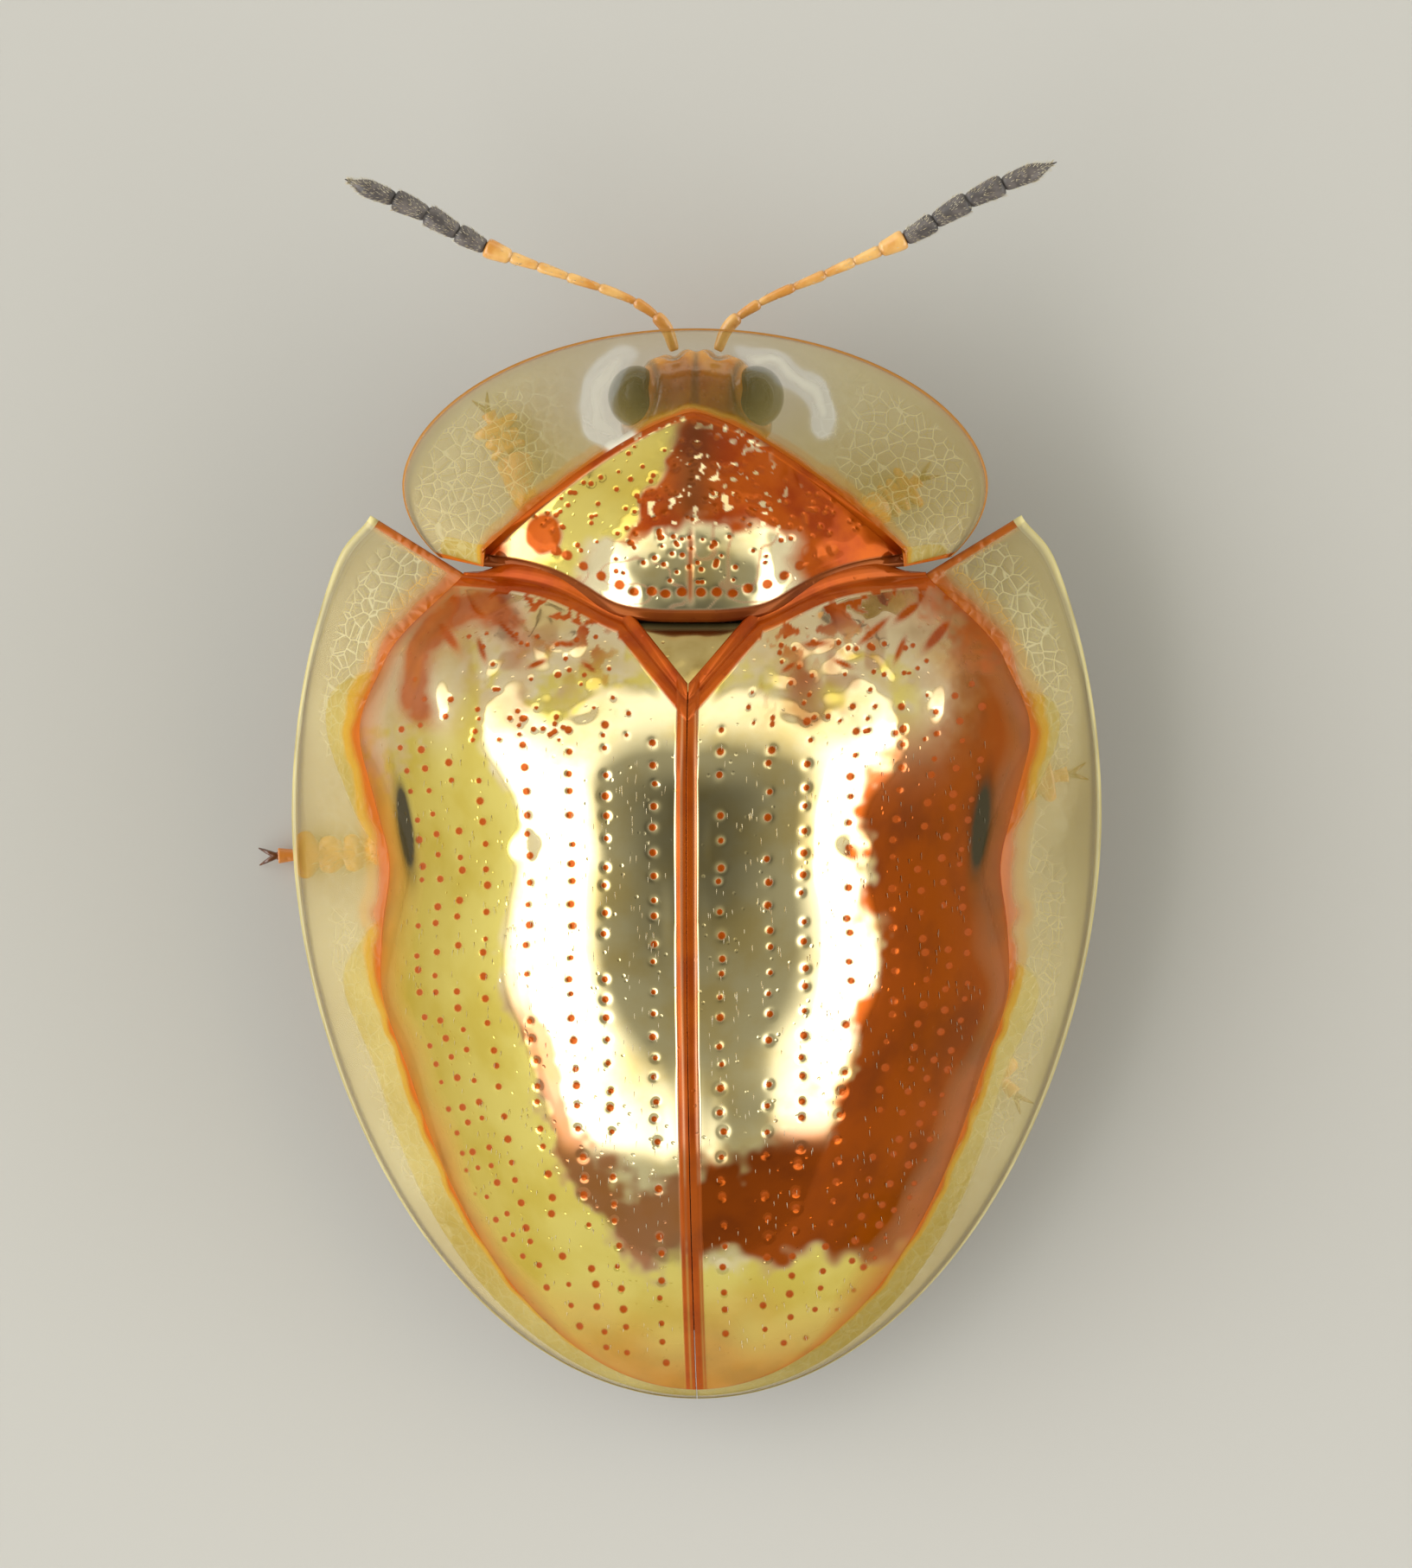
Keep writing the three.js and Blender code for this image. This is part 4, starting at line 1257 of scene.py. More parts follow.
        # A thin gold line in the amber ridge, placed at gloss_at, is a painted highlight.
        gloss_at = 0.03 if self.side is Side.LEFT else 0.05
        ridge = smooth(x, 0.07, 0.058) * (1 - 0.3 * bell(x, gloss_at, 0.007))
        border = smooth(from_base, self.border + 0.012, self.border - 0.006)
        tail_glow = smooth(y + 0.12 * waver(x, y, 0.25, seed + 4), 5.65, 6.4) * 0.7
        grain = waver(x, y, 0.075, seed + 11) + 0.6 * waver(x, y, 0.03, seed + 12)
        near_base = smooth(from_base, 0.5, 0.12) * smooth(x, 0.35, 0.6)
        flecks = near_base * smooth(grain, 0.28, 0.5)
        arc = bell(np.hypot((x - 1.3) / 0.38, (y - 2.15) / 0.46), 1.0, 0.26) * smooth(y, 2.5, 2.25)
        arc = arc * smooth(x, 0.9, 1.15)
        shoulder = np.clip(arc * (1.5 + 0.4 * grain), 0, 1)
        if self.side is Side.RIGHT:
            shoulder = smooth(x + 0.1 * grain + 0.2 * waver(x, y, 0.3, 13), 1.2, 1.62)
            shoulder = shoulder * smooth(y + 0.12 * grain, 2.3, 1.9)
        streaks = np.minimum(1.5 * np.maximum.reduce([stroke(x, y, *place) for place in self.strokes]), 1)
        # Russet lumps near the base are painted dark reflections.
        lumps = bell(x, 0.95, 0.5) * bell(y, 1.98, 0.32) * smooth(waver(x, y, 0.13, seed + 14), -0.2, 0.45)
        glows = [0.85 * edge_glow, 0.9 * shoulder, tail_glow]
        amber = np.maximum.reduce([ridge, border, *glows, flecks, streaks])
        # The painted lime is left off the shoulder welt, so that the bare gold there mirrors the light.
        highlight = np.clip(1.8 * bell(x, 1.5, 0.13) * bell(y, 2.12, 0.3), 0, 1)
        low = low * (1 - highlight) * smooth(y + 0.25 * grain - 0.5 * smooth(x, 1.5, 1.75), 1.9, 2.35)
        # Left case: the lime is painted reflection of the ground, and dim marks a painted darker reflection
        # just above the horizon towards the rear.
        if self.side is Side.LEFT:
            lime = low
            dim = smooth(angle + ragged, 73, 78)
            russet = np.maximum(0.8 * dim * (1 - low) * smooth(back, 0.1, 0.6), 0.5 * shoulder)
        else:
            # Right case: a painted dark reflection down the flank, left off the shoulder welt, and a painted
            # dark band across the rear.
            dark_flank_reflection = smooth(angle + 2 * ragged, 80, 92) * smooth(out, 0.2, 0.55) * smooth(y, 5.6, 5.2)
            welt = bell(x + 0.06 * grain, 1.32, 0.27) * bell(y, 2.0, 0.42)
            dark_flank_reflection = dark_flank_reflection * (1 - 0.95 * np.clip(1.5 * welt, 0, 1))
            fringe = 0.08 * waver(x, y, 0.1, seed + 8) + 0.1 * waver(x, y, 0.32, seed + 15)
            dim = smooth(angle + ragged, 68, 74)
            band = dim * smooth(y + fringe, 5.64, 5.5)
            russet = np.maximum(dark_flank_reflection, band * smooth(y, 4.6, 5.0))
            lime = low * (1 - russet)
            russet = np.maximum(russet * (1 - 0.3 * edge_glow), 0.35 * shoulder)
            amber = np.maximum(amber, 0.4 * smooth(from_edge, 0.6, 0.1) * smooth(y, 5.4, 4.9))
        warmth = 0.2 * bell(y, 1.9, 0.42) * smooth(x, 0.15, 0.5)
        # Russet also takes the ridge and the strokes, the painted dark lumps and a faint warm tint near the
        # base.
        russet = np.maximum.reduce([russet, 0.4 * np.maximum(ridge, streaks), 0.6 * lumps, warmth])
        streak = np.minimum(1, 2.4 * bell(x + 0.12 * (y - 3.0), 1.74, 0.045) * bell(y, 3.02, 0.24))
        return {"lime": lime, "russet": russet, "amber": amber, "pit": depth, "streak": streak}

    def margin(self) -> Patch:
        """The clear margin: a hollowed film with a beaded rim, from the disc's edge outwards."""
        share = np.linspace(0, 1, self.margin_rows)
        first_outer = -math.asin((FORM.widest_at - FORM.corner_at) / FORM.outline_front)
        inner_x, inner_y = FORM.disc_outline(mix(FORM.base_angle(), math.pi / 2, share), -0.015)
        outer_x, outer_y = FORM.elytra_outline(mix(first_outer, math.pi / 2, share))
        edges = (
            (inner_x, inner_y, FORM.disc_edge_height(inner_y) - 0.01),
            (outer_x, outer_y, FORM.rim_height(outer_y)),
        )
        v = np.linspace(0, 1, self.margin_columns)[None, :]
        x, y, fall = FORM.film(*edges, v)
        bead = 0.022 * bell(v, 0.955, 0.035)
        folds = 0.006 * waver(x, y, 0.22, 60) * np.sin(v * math.pi)
        front = np.hypot(x - x[:1], y - y[:1])
        fold = 0.02 * mound(front - 0.03, 0.035)
        top = xyz(np.maximum(x, self.meeting), y, fall + bead + folds + fold)
        w = np.linspace(0, 1, self.under_margin_columns)[None, :]
        under_x, under_y, under_z = FORM.film(*edges, w, self.film)
        under = xyz(np.maximum(under_x, self.meeting), under_y, under_z)
        shoulder = bell(y, 1.6, 0.6)
        spread = mix(0.4, 0.2, smooth(y, 3.3, 4.3))
        amber = smooth((v + 0.05 * waver(x, y, 0.12, 61)) / spread, 1.0, 0.0) ** 1.5 * 0.95
        rim_wide = 0.018 + 0.04 * bell(y, 1.5, 0.9)
        values = {
            "netted": np.clip(0.3 + 0.9 * shoulder, 0, 1) * smooth(v, 0.85, 0.6),
            "veil": np.maximum(amber, 0.9 * smooth(front, 0.075, 0.035)),
            "rim": smooth(1 - v, rim_wide * 1.6, rim_wide) * (0.75 + 0.25 * waver(x, y, 0.2, 62)),
            "tinted": 1.0,
        }
        return plate(top, under, values).mirrored(self.side)

    def setae(self) -> Patch:
        """Fine pale hairs that lie backwards on the disc, between the rows of pits."""
        rng = np.random.default_rng(SEED + 90 + self.side.value)
        x = rng.uniform(0.12, 1.85, self.seta_count)
        y = rng.uniform(2.5, 6.2, self.seta_count)
        inside = x < FORM.disc_half_width(y) - self.edge_clear
        x, y = x[inside], y[inside]
        step = 0.01
        here = FORM.dome_height(x, y)
        slope_x = (FORM.dome_height(x + step, y) - here) / step
        slope_y = (FORM.dome_height(x, y + step) - here) / step
        backwards = unit(xyz(rng.uniform(-0.1, 0.1, len(x)), 1.0, slope_y))
        aims = unit(backwards + 0.12 * unit(xyz(-slope_x, -slope_y, 1.0)))
        roots = xyz(x, y, here + 0.004)
        spots = np.stack([0.05 + 0.4 * x, 0.05 + 0.14 * y], axis=-1)
        return hairs(roots, aims, rng.uniform(0.03, 0.05, len(x)), 0.0026, spots).mirrored(self.side)

    def make(self, finishes: Finishes) -> None:
        """Builds and dresses the disc, its hairs and the margin."""
        word = self.side.word
        self.setae().to_object(f"wing_setae_{word}", finishes.down, "gold_cuticle")
        disc = self.disc().to_object(f"wing_disc_{word}", finishes.gold, "gold_cuticle")
        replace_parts(disc, f"elytron_{word}")
        margin = self.margin().to_object(f"wing_margin_{word}", finishes.clear, "clear_cuticle")
        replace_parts(margin, f"elytron_margin_{word}")


@dataclass
class Shield:
    """The pronotum: a gold and amber disc inside a clear margin.

    Attributes:
        rows: rings across the disc.
        columns: points along its top.
        shell: thickness of the disc.
        strewn_count: number of fine pits strewn over it.
        pit_depth: depth of a pit.
        border_rise: height of the hind border.
        film: thickness of the margin.
    """

    rows: int = 380
    columns: int = 190
    under_columns: int = 14
    shell: float = 0.09
    strewn_count: int = 300
    pit_depth: float = 0.011
    border_rise: float = 0.02
    film: float = 0.045
    margin_rows: int = 620
    margin_columns: int = 64
    under_margin_columns: int = 16

    def pit_places(self) -> Pair:
        """A row of pits before the hind border, and fine pits strewn over the disc."""
        rng = np.random.default_rng(SEED + 3)
        x = np.arange(-0.86, 0.87, 0.1) + rng.uniform(-0.015, 0.015, 18)
        row = np.stack([x, FORM.hind_margin(x) - 0.17 + rng.uniform(-0.012, 0.012, 18)], axis=-1)
        strewn = rng.uniform((-1.1, 0.55), (1.1, 1.62), (self.strewn_count, 2))
        front = FORM.shield_disc_front_at(strewn[:, 0]) + 0.07
        hind = FORM.hind_margin(strewn[:, 0]) - 0.24
        strewn = strewn[(strewn[:, 1] > front) & (strewn[:, 1] < hind)]
        sizes = np.concatenate([np.full(len(row), 0.034), rng.uniform(0.011, 0.018, len(strewn))])
        return np.concatenate([row, strewn]), sizes

    def disc(self) -> Patch:
        """The disc: quarter-sine dome, hind border, middle line, dents and pits."""
        x = FORM.shield_disc_half * np.sin(np.linspace(-math.pi / 2, math.pi / 2, self.rows))[:, None]
        v = np.linspace(0, 1, self.columns)[None, :]
        hind = FORM.hind_margin(x) + 0.03 * smooth(np.abs(x), 0.25, 0.6)
        front = FORM.shield_disc_front_at(x)
        y = mix(hind, front, v)
        x = x * np.ones_like(v)
        base = FORM.shield_height(x, y)
        slope = np.abs(np.gradient(hind[:, 0], x[:, 0]))[:, None]
        from_hind = (hind - y) / np.sqrt(1 + slope**2)
        from_front = (y - front) / np.sqrt(1 + (0.84 * np.abs(x) ** 0.4) ** 2)
        border = mound(from_hind - 0.035, 0.033)
        line = bell(x, 0, 0.022) * smooth(y, 1.15, 1.32) * smooth(y, 1.72, 1.62)
        inside = smooth(from_hind, 0.1, 0.17) * smooth(from_front, 0.0, 0.08)
        places, radii = self.pit_places()
        depth = pits(x, y, places, radii) * inside
        crumple = waver(x, y, 0.075, 71) * 0.0035 + waver(x, y, 0.18, 72) * 0.008
        lumps = crumple * smooth(y, 1.5, 1.1) + waver(x, y, 0.35, 73) * 0.008
        dimples = 0.026 * bell(np.abs(x), 0.45, 0.11) * bell(y, 1.42, 0.14)
        dimples = dimples - 0.024 * bell(np.abs(x), 0.72, 0.12) * bell(y, 1.46, 0.12)
        height = base + self.border_rise * border - 0.008 * line
        height = height + inside * (lumps + dimples) - self.pit_depth * depth
        height = height + 0.008 * mound(from_front - 0.02, 0.02)
        under = xyz(x, y, base - self.shell)[:, picks(self.columns, self.under_columns)]
        return plate(xyz(x, y, height), under, self.disc_values(x, y, from_hind, from_front, line, depth))

    def disc_values(
        self, x: Array, y: Array, from_hind: Array, from_front: Array, line: Array, depth: Array
    ) -> dict[str, Array]:
        """Where the shield's disc is amber or pitted, where its lime painted reflection lies, and where it is
        dark: a real hind border and a painted dark reflection in the middle.

        Args:
            x: places across.
            y: places along.
            from_hind: distance from the hind edge.
            from_front: distance from the front edge.
            line: share of the middle line.
            depth: share of a pit's depth.

        Returns:
            The named values of the gold finish.
        """
        out = np.abs(x)
        ragged = waver(x, y, 0.16, 75) * 0.09 + waver(x, y, 0.06, 76) * 0.05
        grain = waver(x, y, 0.045, 77) + 0.5 * waver(x, y, 0.02, 78)
        gilt = smooth(y + ragged - 0.25 * out, 1.08, 1.2) * smooth(out + 0.6 * ragged, 0.74, 0.58)
        blotch = np.hypot((x - 0.89) / 0.11, (y - 1.27) / 0.14) + 2 * ragged
        reach = np.minimum(0.14 + 0.75 * x, 0.5)
        # A lime painted reflection along the front left of the disc.
        lime = smooth(x + 0.5 * ragged, 0.08, 0.18) * smooth(from_front, 0.03, 0.06)
        lime = lime * smooth(from_front + ragged, reach + 0.05, reach - 0.05)
        lime = lime * smooth(x + 0.5 * ragged, 1.2, 1.05) * smooth(blotch, 0.8, 1.1)
        # A dark middle in front of the gold: painted dark reflection.
        middle = bell(x, 0.0, 0.15) * smooth(y, 1.3, 1.05) * smooth(y, 0.5, 0.62)
        specks = smooth(grain, 0.62, 0.8) * smooth(out + ragged, 0.72, 0.5) * smooth(from_front, 0.05, 0.12)
        beads = smooth(grain, 0.2, 0.4) * bell(from_front, 0.045, 0.035) * smooth(out, 0.5, 0.35)
        veins = smooth(np.abs(waver(x, y, 0.13, 79)), 0.12, 0.04) * 0.5
        bright = np.maximum.reduce([gilt * (1 - veins), 0.9 * lime, 0.85 * specks, beads])
        border = smooth(from_hind, 0.085, 0.07)
        amber = np.maximum.reduce([1 - bright, border, 0.9 * line])
        # The streak value holds the painted dark middle and the real dark hind border.
        russet = np.maximum(middle * (1 - gilt) * (1 - specks), 0.85 * border)
        return {
            "lime": lime * (1 - gilt),
            "russet": 0.0,
            "amber": np.clip(amber, 0, 1),
            "pit": depth,
            "streak": np.clip(0.6 * russet, 0, 1),
        }

    def margin(self) -> Patch:
        """The clear margin, from one hind corner round the front to the other."""
        share = np.linspace(-1, 1, self.margin_rows)
        outer_x, outer_y = FORM.shield_outline(share * FORM.shield_corner)
        inner_x = (FORM.shield_disc_half - 0.01) * np.sin(share * math.pi / 2)
        tuck = 0.01 * (1 - share**6) + 0.1 * smooth(np.abs(share), 0.9, 1.0)
        inner_y = FORM.shield_disc_front_at(inner_x) + tuck
        edges = (
            (inner_x, inner_y, FORM.shield_front_height_at(inner_x) - 0.012),
            (outer_x, outer_y, np.full_like(outer_y, FORM.shield_rim)),
        )
        v = np.linspace(0, 1, self.margin_columns)[None, :]
        x, y, fall = FORM.film(*edges, v)
        bead = 0.018 * bell(v, 0.965, 0.03)
        folds = 0.008 * waver(x, y, 0.3, 81) * np.sin(v * math.pi)
        top = xyz(x, y, fall + bead + folds)
        w = np.linspace(0, 1, self.under_margin_columns)[None, :]
        under = xyz(*FORM.film(*edges, w, self.film))
        side = smooth(np.abs(x), 0.6, 1.0)
        over_head = bell(x, 0, 0.75) * bell(y, 0.35, 0.4)
        bent = 0.05 * waver(x, y, 0.14, 83)
        # Pale glare beside the eyes, left and right: painted reflections on the film.
        left_glow = bell(np.hypot(x - 0.34, (y - 0.44) * 0.9) + bent, 0.25, 0.06) * smooth(x, 0.3, 0.5)
        right_arc = np.abs(np.hypot(x + 0.2, y - 0.75) - 0.62 + bent)
        right_glow = bell(right_arc, 0, 0.05) * smooth(-x, 0.2, 0.4) * smooth(y, 0.72, 0.5)
        inner_veil = smooth(v + 0.02 * waver(x, y, 0.1, 82), 0.16, 0.0) ** 1.4 * 0.9
        corner_veil = 0.95 * smooth(np.abs(share), 0.972, 0.985)[:, None]
        values = {
            "netted": (0.1 + 0.5 * side) * smooth(v, 0.97, 0.8),
            "veil": np.maximum(inner_veil, corner_veil),
            "rim": smooth(1 - v, 0.035, 0.015),
            # Painted glare: pale painted reflections beside the eyes.
            "cloud": np.maximum(0.5 * left_glow, 0.65 * right_glow),
            "tinted": 1 - 0.9 * over_head,
        }
        return plate(top, under, values)

    def make(self, finishes: Finishes) -> None:
        """Builds and dresses both pieces."""
        disc = self.disc().to_object("shield_disc", finishes.gold, "gold_cuticle")
        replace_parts(disc, "pronotum")
        margin = self.margin().to_object("shield_margin", finishes.shield_clear, "clear_cuticle")
        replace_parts(margin, "pronotum_margin")


@dataclass
class Scutellum:
    """The small triangle between the wing cases."""

    rows: int = 60
    columns: int = 80
    shell: float = 0.09
    sink: float = 0.02

    def make(self, finishes: Finishes) -> None:
        """A plate that narrows backwards, slightly dished, with a dark front edge."""
        t = np.linspace(0, 1, self.rows)[:, None]
        s = np.linspace(-1, 1, self.columns)[None, :]
        front = float(FORM.hind_margin(0.0)) + 0.004
        y = mix(front, FORM.scutellum_tip - 0.012, t)
        half = FORM.scutellum_half * (FORM.scutellum_tip - y) / (FORM.scutellum_tip - front)
        x = s * half * 0.985
        base = FORM.dome_height(0.2, y) - self.sink
        dish = 0.02 * s**2 * (1 - t) + 0.012 * np.cos(s * math.pi) * np.sin(t * math.pi)
        top = xyz(x, y, base + dish + waver(x, y, 0.07, 91) * 0.003)
        under = xyz(x, y, base - self.shell)[:, ::8]
        front_line = 0.8 * smooth(t, 0.13, 0.03)
        rim = smooth(np.abs(s), 0.84, 0.97)
        values = {"lime": 0.0, "russet": 0.0, "pit": 0.0, "amber": rim, "streak": front_line}
        piece = plate(top, under, values).to_object("scutellum_plate", finishes.scutellum, "amber_cuticle")
        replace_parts(piece, "scutellum")


@dataclass
class Head:
    """Head with its eyes and mouth parts."""

    centre: Place = (0, 0.5, 0.62)
    size: Place = (0.46, 0.37, 0.3)
    eye_centre: Place = (0.36, 0.41, 0.7)
    eye_size: Place = (0.175, 0.19, 0.2)
    labrum_centre: Place = (0, 0.235, 0.41)
    labrum_size: Place = (0.13, 0.055, 0.09)
    socket_at: tuple[float, float] = (0.13, 0.16)
    chin: float = 0.3

    def skull(self) -> Patch:
        """An ellipsoid with eye orbits, feeler sockets and a middle groove, cut flat at the chin."""
        points, direction = blob(self.centre, self.size, 110, 84)
        x, y, z = points[..., 0], points[..., 1], points[..., 2]
        out = np.zeros_like(x)
        dark = np.zeros_like(x)
        eye = np.array(self.eye_centre)
        for side in (-1, 1):
            gap = np.linalg.norm((points - eye * (side, 1, 1)) / self.eye_size, axis=-1)
            out += 0.02 * bell(gap, 1.25, 0.16)
            dark = np.maximum(dark, 0.7 * bell(gap, 1.15, 0.12))
            socket = np.hypot(x - side * self.socket_at[0], y - self.socket_at[1]) + np.abs(z - 0.68) * 0.4
            out += 0.016 * bell(socket, 0.09, 0.03) - 0.03 * bell(socket, 0, 0.06)
            dark = np.maximum(dark, 0.8 * bell(socket, 0, 0.06))
        groove = bell(x, 0, 0.02) * smooth(z, 0.6, 0.75)
        out -= 0.01 * groove
        dark = np.maximum(dark, 0.7 * groove)
        points = points + direction * out[..., None]
        points[..., 2] = np.maximum(points[..., 2], self.chin)
        return closed_rings(points, Ends.POINTED, {"dark": dark})

    def eye(self, side: Side) -> Patch:
        """A bean-shaped eye, flattened towards the head."""
        points, direction = blob(self.eye_centre, self.eye_size, 64, 44)
        dent = 0.05 * bell(direction[..., 0], -0.8, 0.5) * bell(direction[..., 1], -0.3, 0.5)
        return closed_rings(points - direction * dent[..., None], Ends.POINTED).mirrored(side)

    def labrum(self) -> Patch:
        """The upper lip: a flat notched plate below the face."""
        points, _ = blob(self.labrum_centre, self.labrum_size, 40, 24)
        points[..., 2] += 0.03 * bell(points[..., 0], 0, 0.035) * smooth(points[..., 2], 0.4, 0.34)
        dark = smooth(points[..., 2], 0.4, 0.34)
        return closed_rings(points, Ends.POINTED, {"dark": dark})

    def mandible(self, side: Side) -> Patch:
        """A curved jaw that narrows to a dark toothed tip."""
        path = Path([(0.13, 0.36, 0.4), (0.125, 0.33, 0.34), (0.085, 0.31, 0.29), (0.03, 0.31, 0.265)])
        t = np.linspace(0, 1, 26)
        radius = 0.045 * (1 - 0.75 * t**1.4) * (1 + 0.15 * np.cos(t * 28) * smooth(t, 0.5, 0.8))
        return path.limb(t, radius, radius * 1.1, 16, smooth(t, 0.35, 0.75)).mirrored(side)

    def palp(self, side: Side) -> Patch:
        """A feeler of the mouth in three joints, the last pointed."""
        path = Path([(0.2, 0.42, 0.4), (0.23, 0.39, 0.32), (0.21, 0.35, 0.26), (0.17, 0.31, 0.24)])
        t = np.linspace(0, 1, 48)
        joint = (t * 3) % 1
        radius = (0.024 + 0.01 * np.sin(joint * math.pi) ** 0.7) * (1 - 0.7 * smooth(t, 0.8, 1))
        dark = 0.5 * bell(joint, 0, 0.1) + 0.5 * bell(joint, 1, 0.1)
        return path.limb(t, radius, radius, 14, dark).mirrored(side)

    def make(self, finishes: Finishes) -> None:
        """Builds and dresses the head's pieces."""
        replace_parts(self.skull().to_object("head_capsule", finishes.shells["head"], "amber_cuticle"), "head")
        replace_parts(self.labrum().to_object("upper_lip", finishes.shells["head"], "amber_cuticle"), "labrum")
        for side in Side:
            word = side.word
            eye = self.eye(side).to_object(f"facet_eye_{word}", finishes.eye, "dark_cuticle")
            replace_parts(eye, f"eye_{word}")
            jaw = self.mandible(side).to_object(f"jaw_{word}", finishes.shells["head"], "amber_cuticle")
            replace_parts(jaw, f"mandible_{word}")
            palp = self.palp(side).to_object(f"mouth_palp_{word}", finishes.shells["head"], "amber_cuticle")
            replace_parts(palp, f"palp_{word}")


@dataclass
class Feeler:
    """One feeler: seven slender amber joints and a dark club of four, with pale down.

    Attributes:
        side: which side it grows from.
        plan: places from root to tip, as x outwards and y backwards.
        club_knot: the place of the plan where the club starts.
        root_height: height of the root above the floor.
        lift: how much higher the tip is.
        joints: length of each shaft joint, as shares of the shaft.
        widths: half width of each shaft joint.
        club_joints: length of each club joint, as shares of the club.
        club_widths: half width of each club joint.
        neck: share of the width left between two joints.
    """

    side: Side
    plan: Rows
    club_knot: int = 4
    root_height: float = 0.68
    lift: float = 0.1
    joints: tuple[float, ...] = (0.18, 0.11, 0.17, 0.15, 0.14, 0.13, 0.12)
    widths: tuple[float, ...] = (0.042, 0.034, 0.031, 0.032, 0.033, 0.037, 0.062)
    club_joints: tuple[float, ...] = (0.2, 0.23, 0.23, 0.34)
    club_widths: tuple[float, ...] = (0.062, 0.067, 0.067, 0.064)
    neck: float = 0.6
    sides: int = 28
    down_count: int = 900
    bristle_count: int = 70

    def __post_init__(self) -> None:
        """Lays the line through the plan."""
        last = len(self.plan) - 1
        knots = [
            (self.side.value * x, y, self.root_height + self.lift * (i / last) ** 2)
            for i, (x, y) in enumerate(self.plan)
        ]
        self.path = Path(knots)
        self.split = float(self.path.knots[self.club_knot])

    def beads(self, shares: Array, joints: tuple, widths: tuple) -> Pair:
        """Half width along a row of joints, each wider towards its far end and necked at both.

        Args:
            shares: (n,) places along the row.
            joints: length of each joint.
            widths: half width of each joint.

        Returns:
            The half widths, and how near each place is to a neck.
        """
        ends = np.cumsum(joints) / sum(joints)
        which = np.minimum(np.searchsorted(ends, shares), len(joints) - 1)
        starts = np.concatenate([[0], ends[:-1]])
        local = (shares - starts[which]) / (ends - starts)[which]
        belly = np.clip(1 - np.abs(2 * local - 1) ** 8, 0, 1) ** 0.5
        taper = 0.78 + 0.22 * smooth(local, 0, 0.9)
        return np.array(widths)[which] * taper * mix(self.neck, 1, belly), 1 - belly

    def club_beads(self, shares: Array) -> Pair:
        """The same for the club, whose last joint is pointed."""
        radius, neck = self.beads(shares, self.club_joints, self.club_widths)
        return radius * (1 - 0.93 * smooth(shares, 0.8, 1.0) ** 1.2), neck

    def shaft(self) -> Patch:
        """The seven amber joints."""
        t = np.linspace(0, 1, 230)
        radius, neck = self.beads(t, self.joints, self.widths)
        return self.path.limb(t * self.split, radius, radius, self.sides, 0.55 * neck)

    def club(self) -> Patch:
        """The four dark joints, the last one pointed."""
        t = np.linspace(0, 1, 190)
        radius, neck = self.club_beads(t)
        dark = np.clip(neck * 1.2, 0, 1)
        return self.path.limb(mix(self.split, 1, t), radius, radius, self.sides, dark)

    def down(self) -> Patch:
        """Short pale hairs on the club that lie along it, and single bristles on both stretches."""
        rng = np.random.default_rng(SEED + 50 + self.side.value)
        t = rng.uniform(0.02, 0.985, self.down_count)
        club_radius, neck = self.club_beads(t)
        hairy = neck < 0.2
        shaft_t = rng.uniform(0.3, 0.99, self.bristle_count)
        shaft_radius, _ = self.beads(shaft_t, self.joints, self.widths)
        shares = np.concatenate([mix(self.split, 1, t[hairy]), shaft_t * self.split])
        radius = np.concatenate([club_radius[hairy], shaft_radius]) * 0.93
        turn = rng.uniform(0, 2 * math.pi, len(shares))
        roots, out, along = self.path.around(shares, turn, radius, radius)
        aims = unit(along + out * rng.uniform(0.5, 1.0, len(shares))[:, None])
        lengths = rng.uniform(0.02, 0.034, len(shares))
        spots = np.stack([0.05 + 0.9 * shares, 0.05 + 0.9 * turn / (2 * math.pi)], axis=-1)
        return hairs(roots, aims, lengths, 0.0022, spots)

    def make(self, finishes: Finishes) -> None:
        """Builds and dresses the shaft, the club and the down."""
        word = self.side.word
        shaft = self.shaft().to_object(f"feeler_shaft_{word}", finishes.shells["feeler"], "amber_cuticle")
        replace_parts(shaft, f"antenna_{word}")
        club = self.club().to_object(f"feeler_club_{word}", finishes.shells["club"], "dark_cuticle")
        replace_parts(club, f"antenna_club_{word}")
        self.down().to_object(f"feeler_down_{word}", finishes.down, "dark_cuticle")


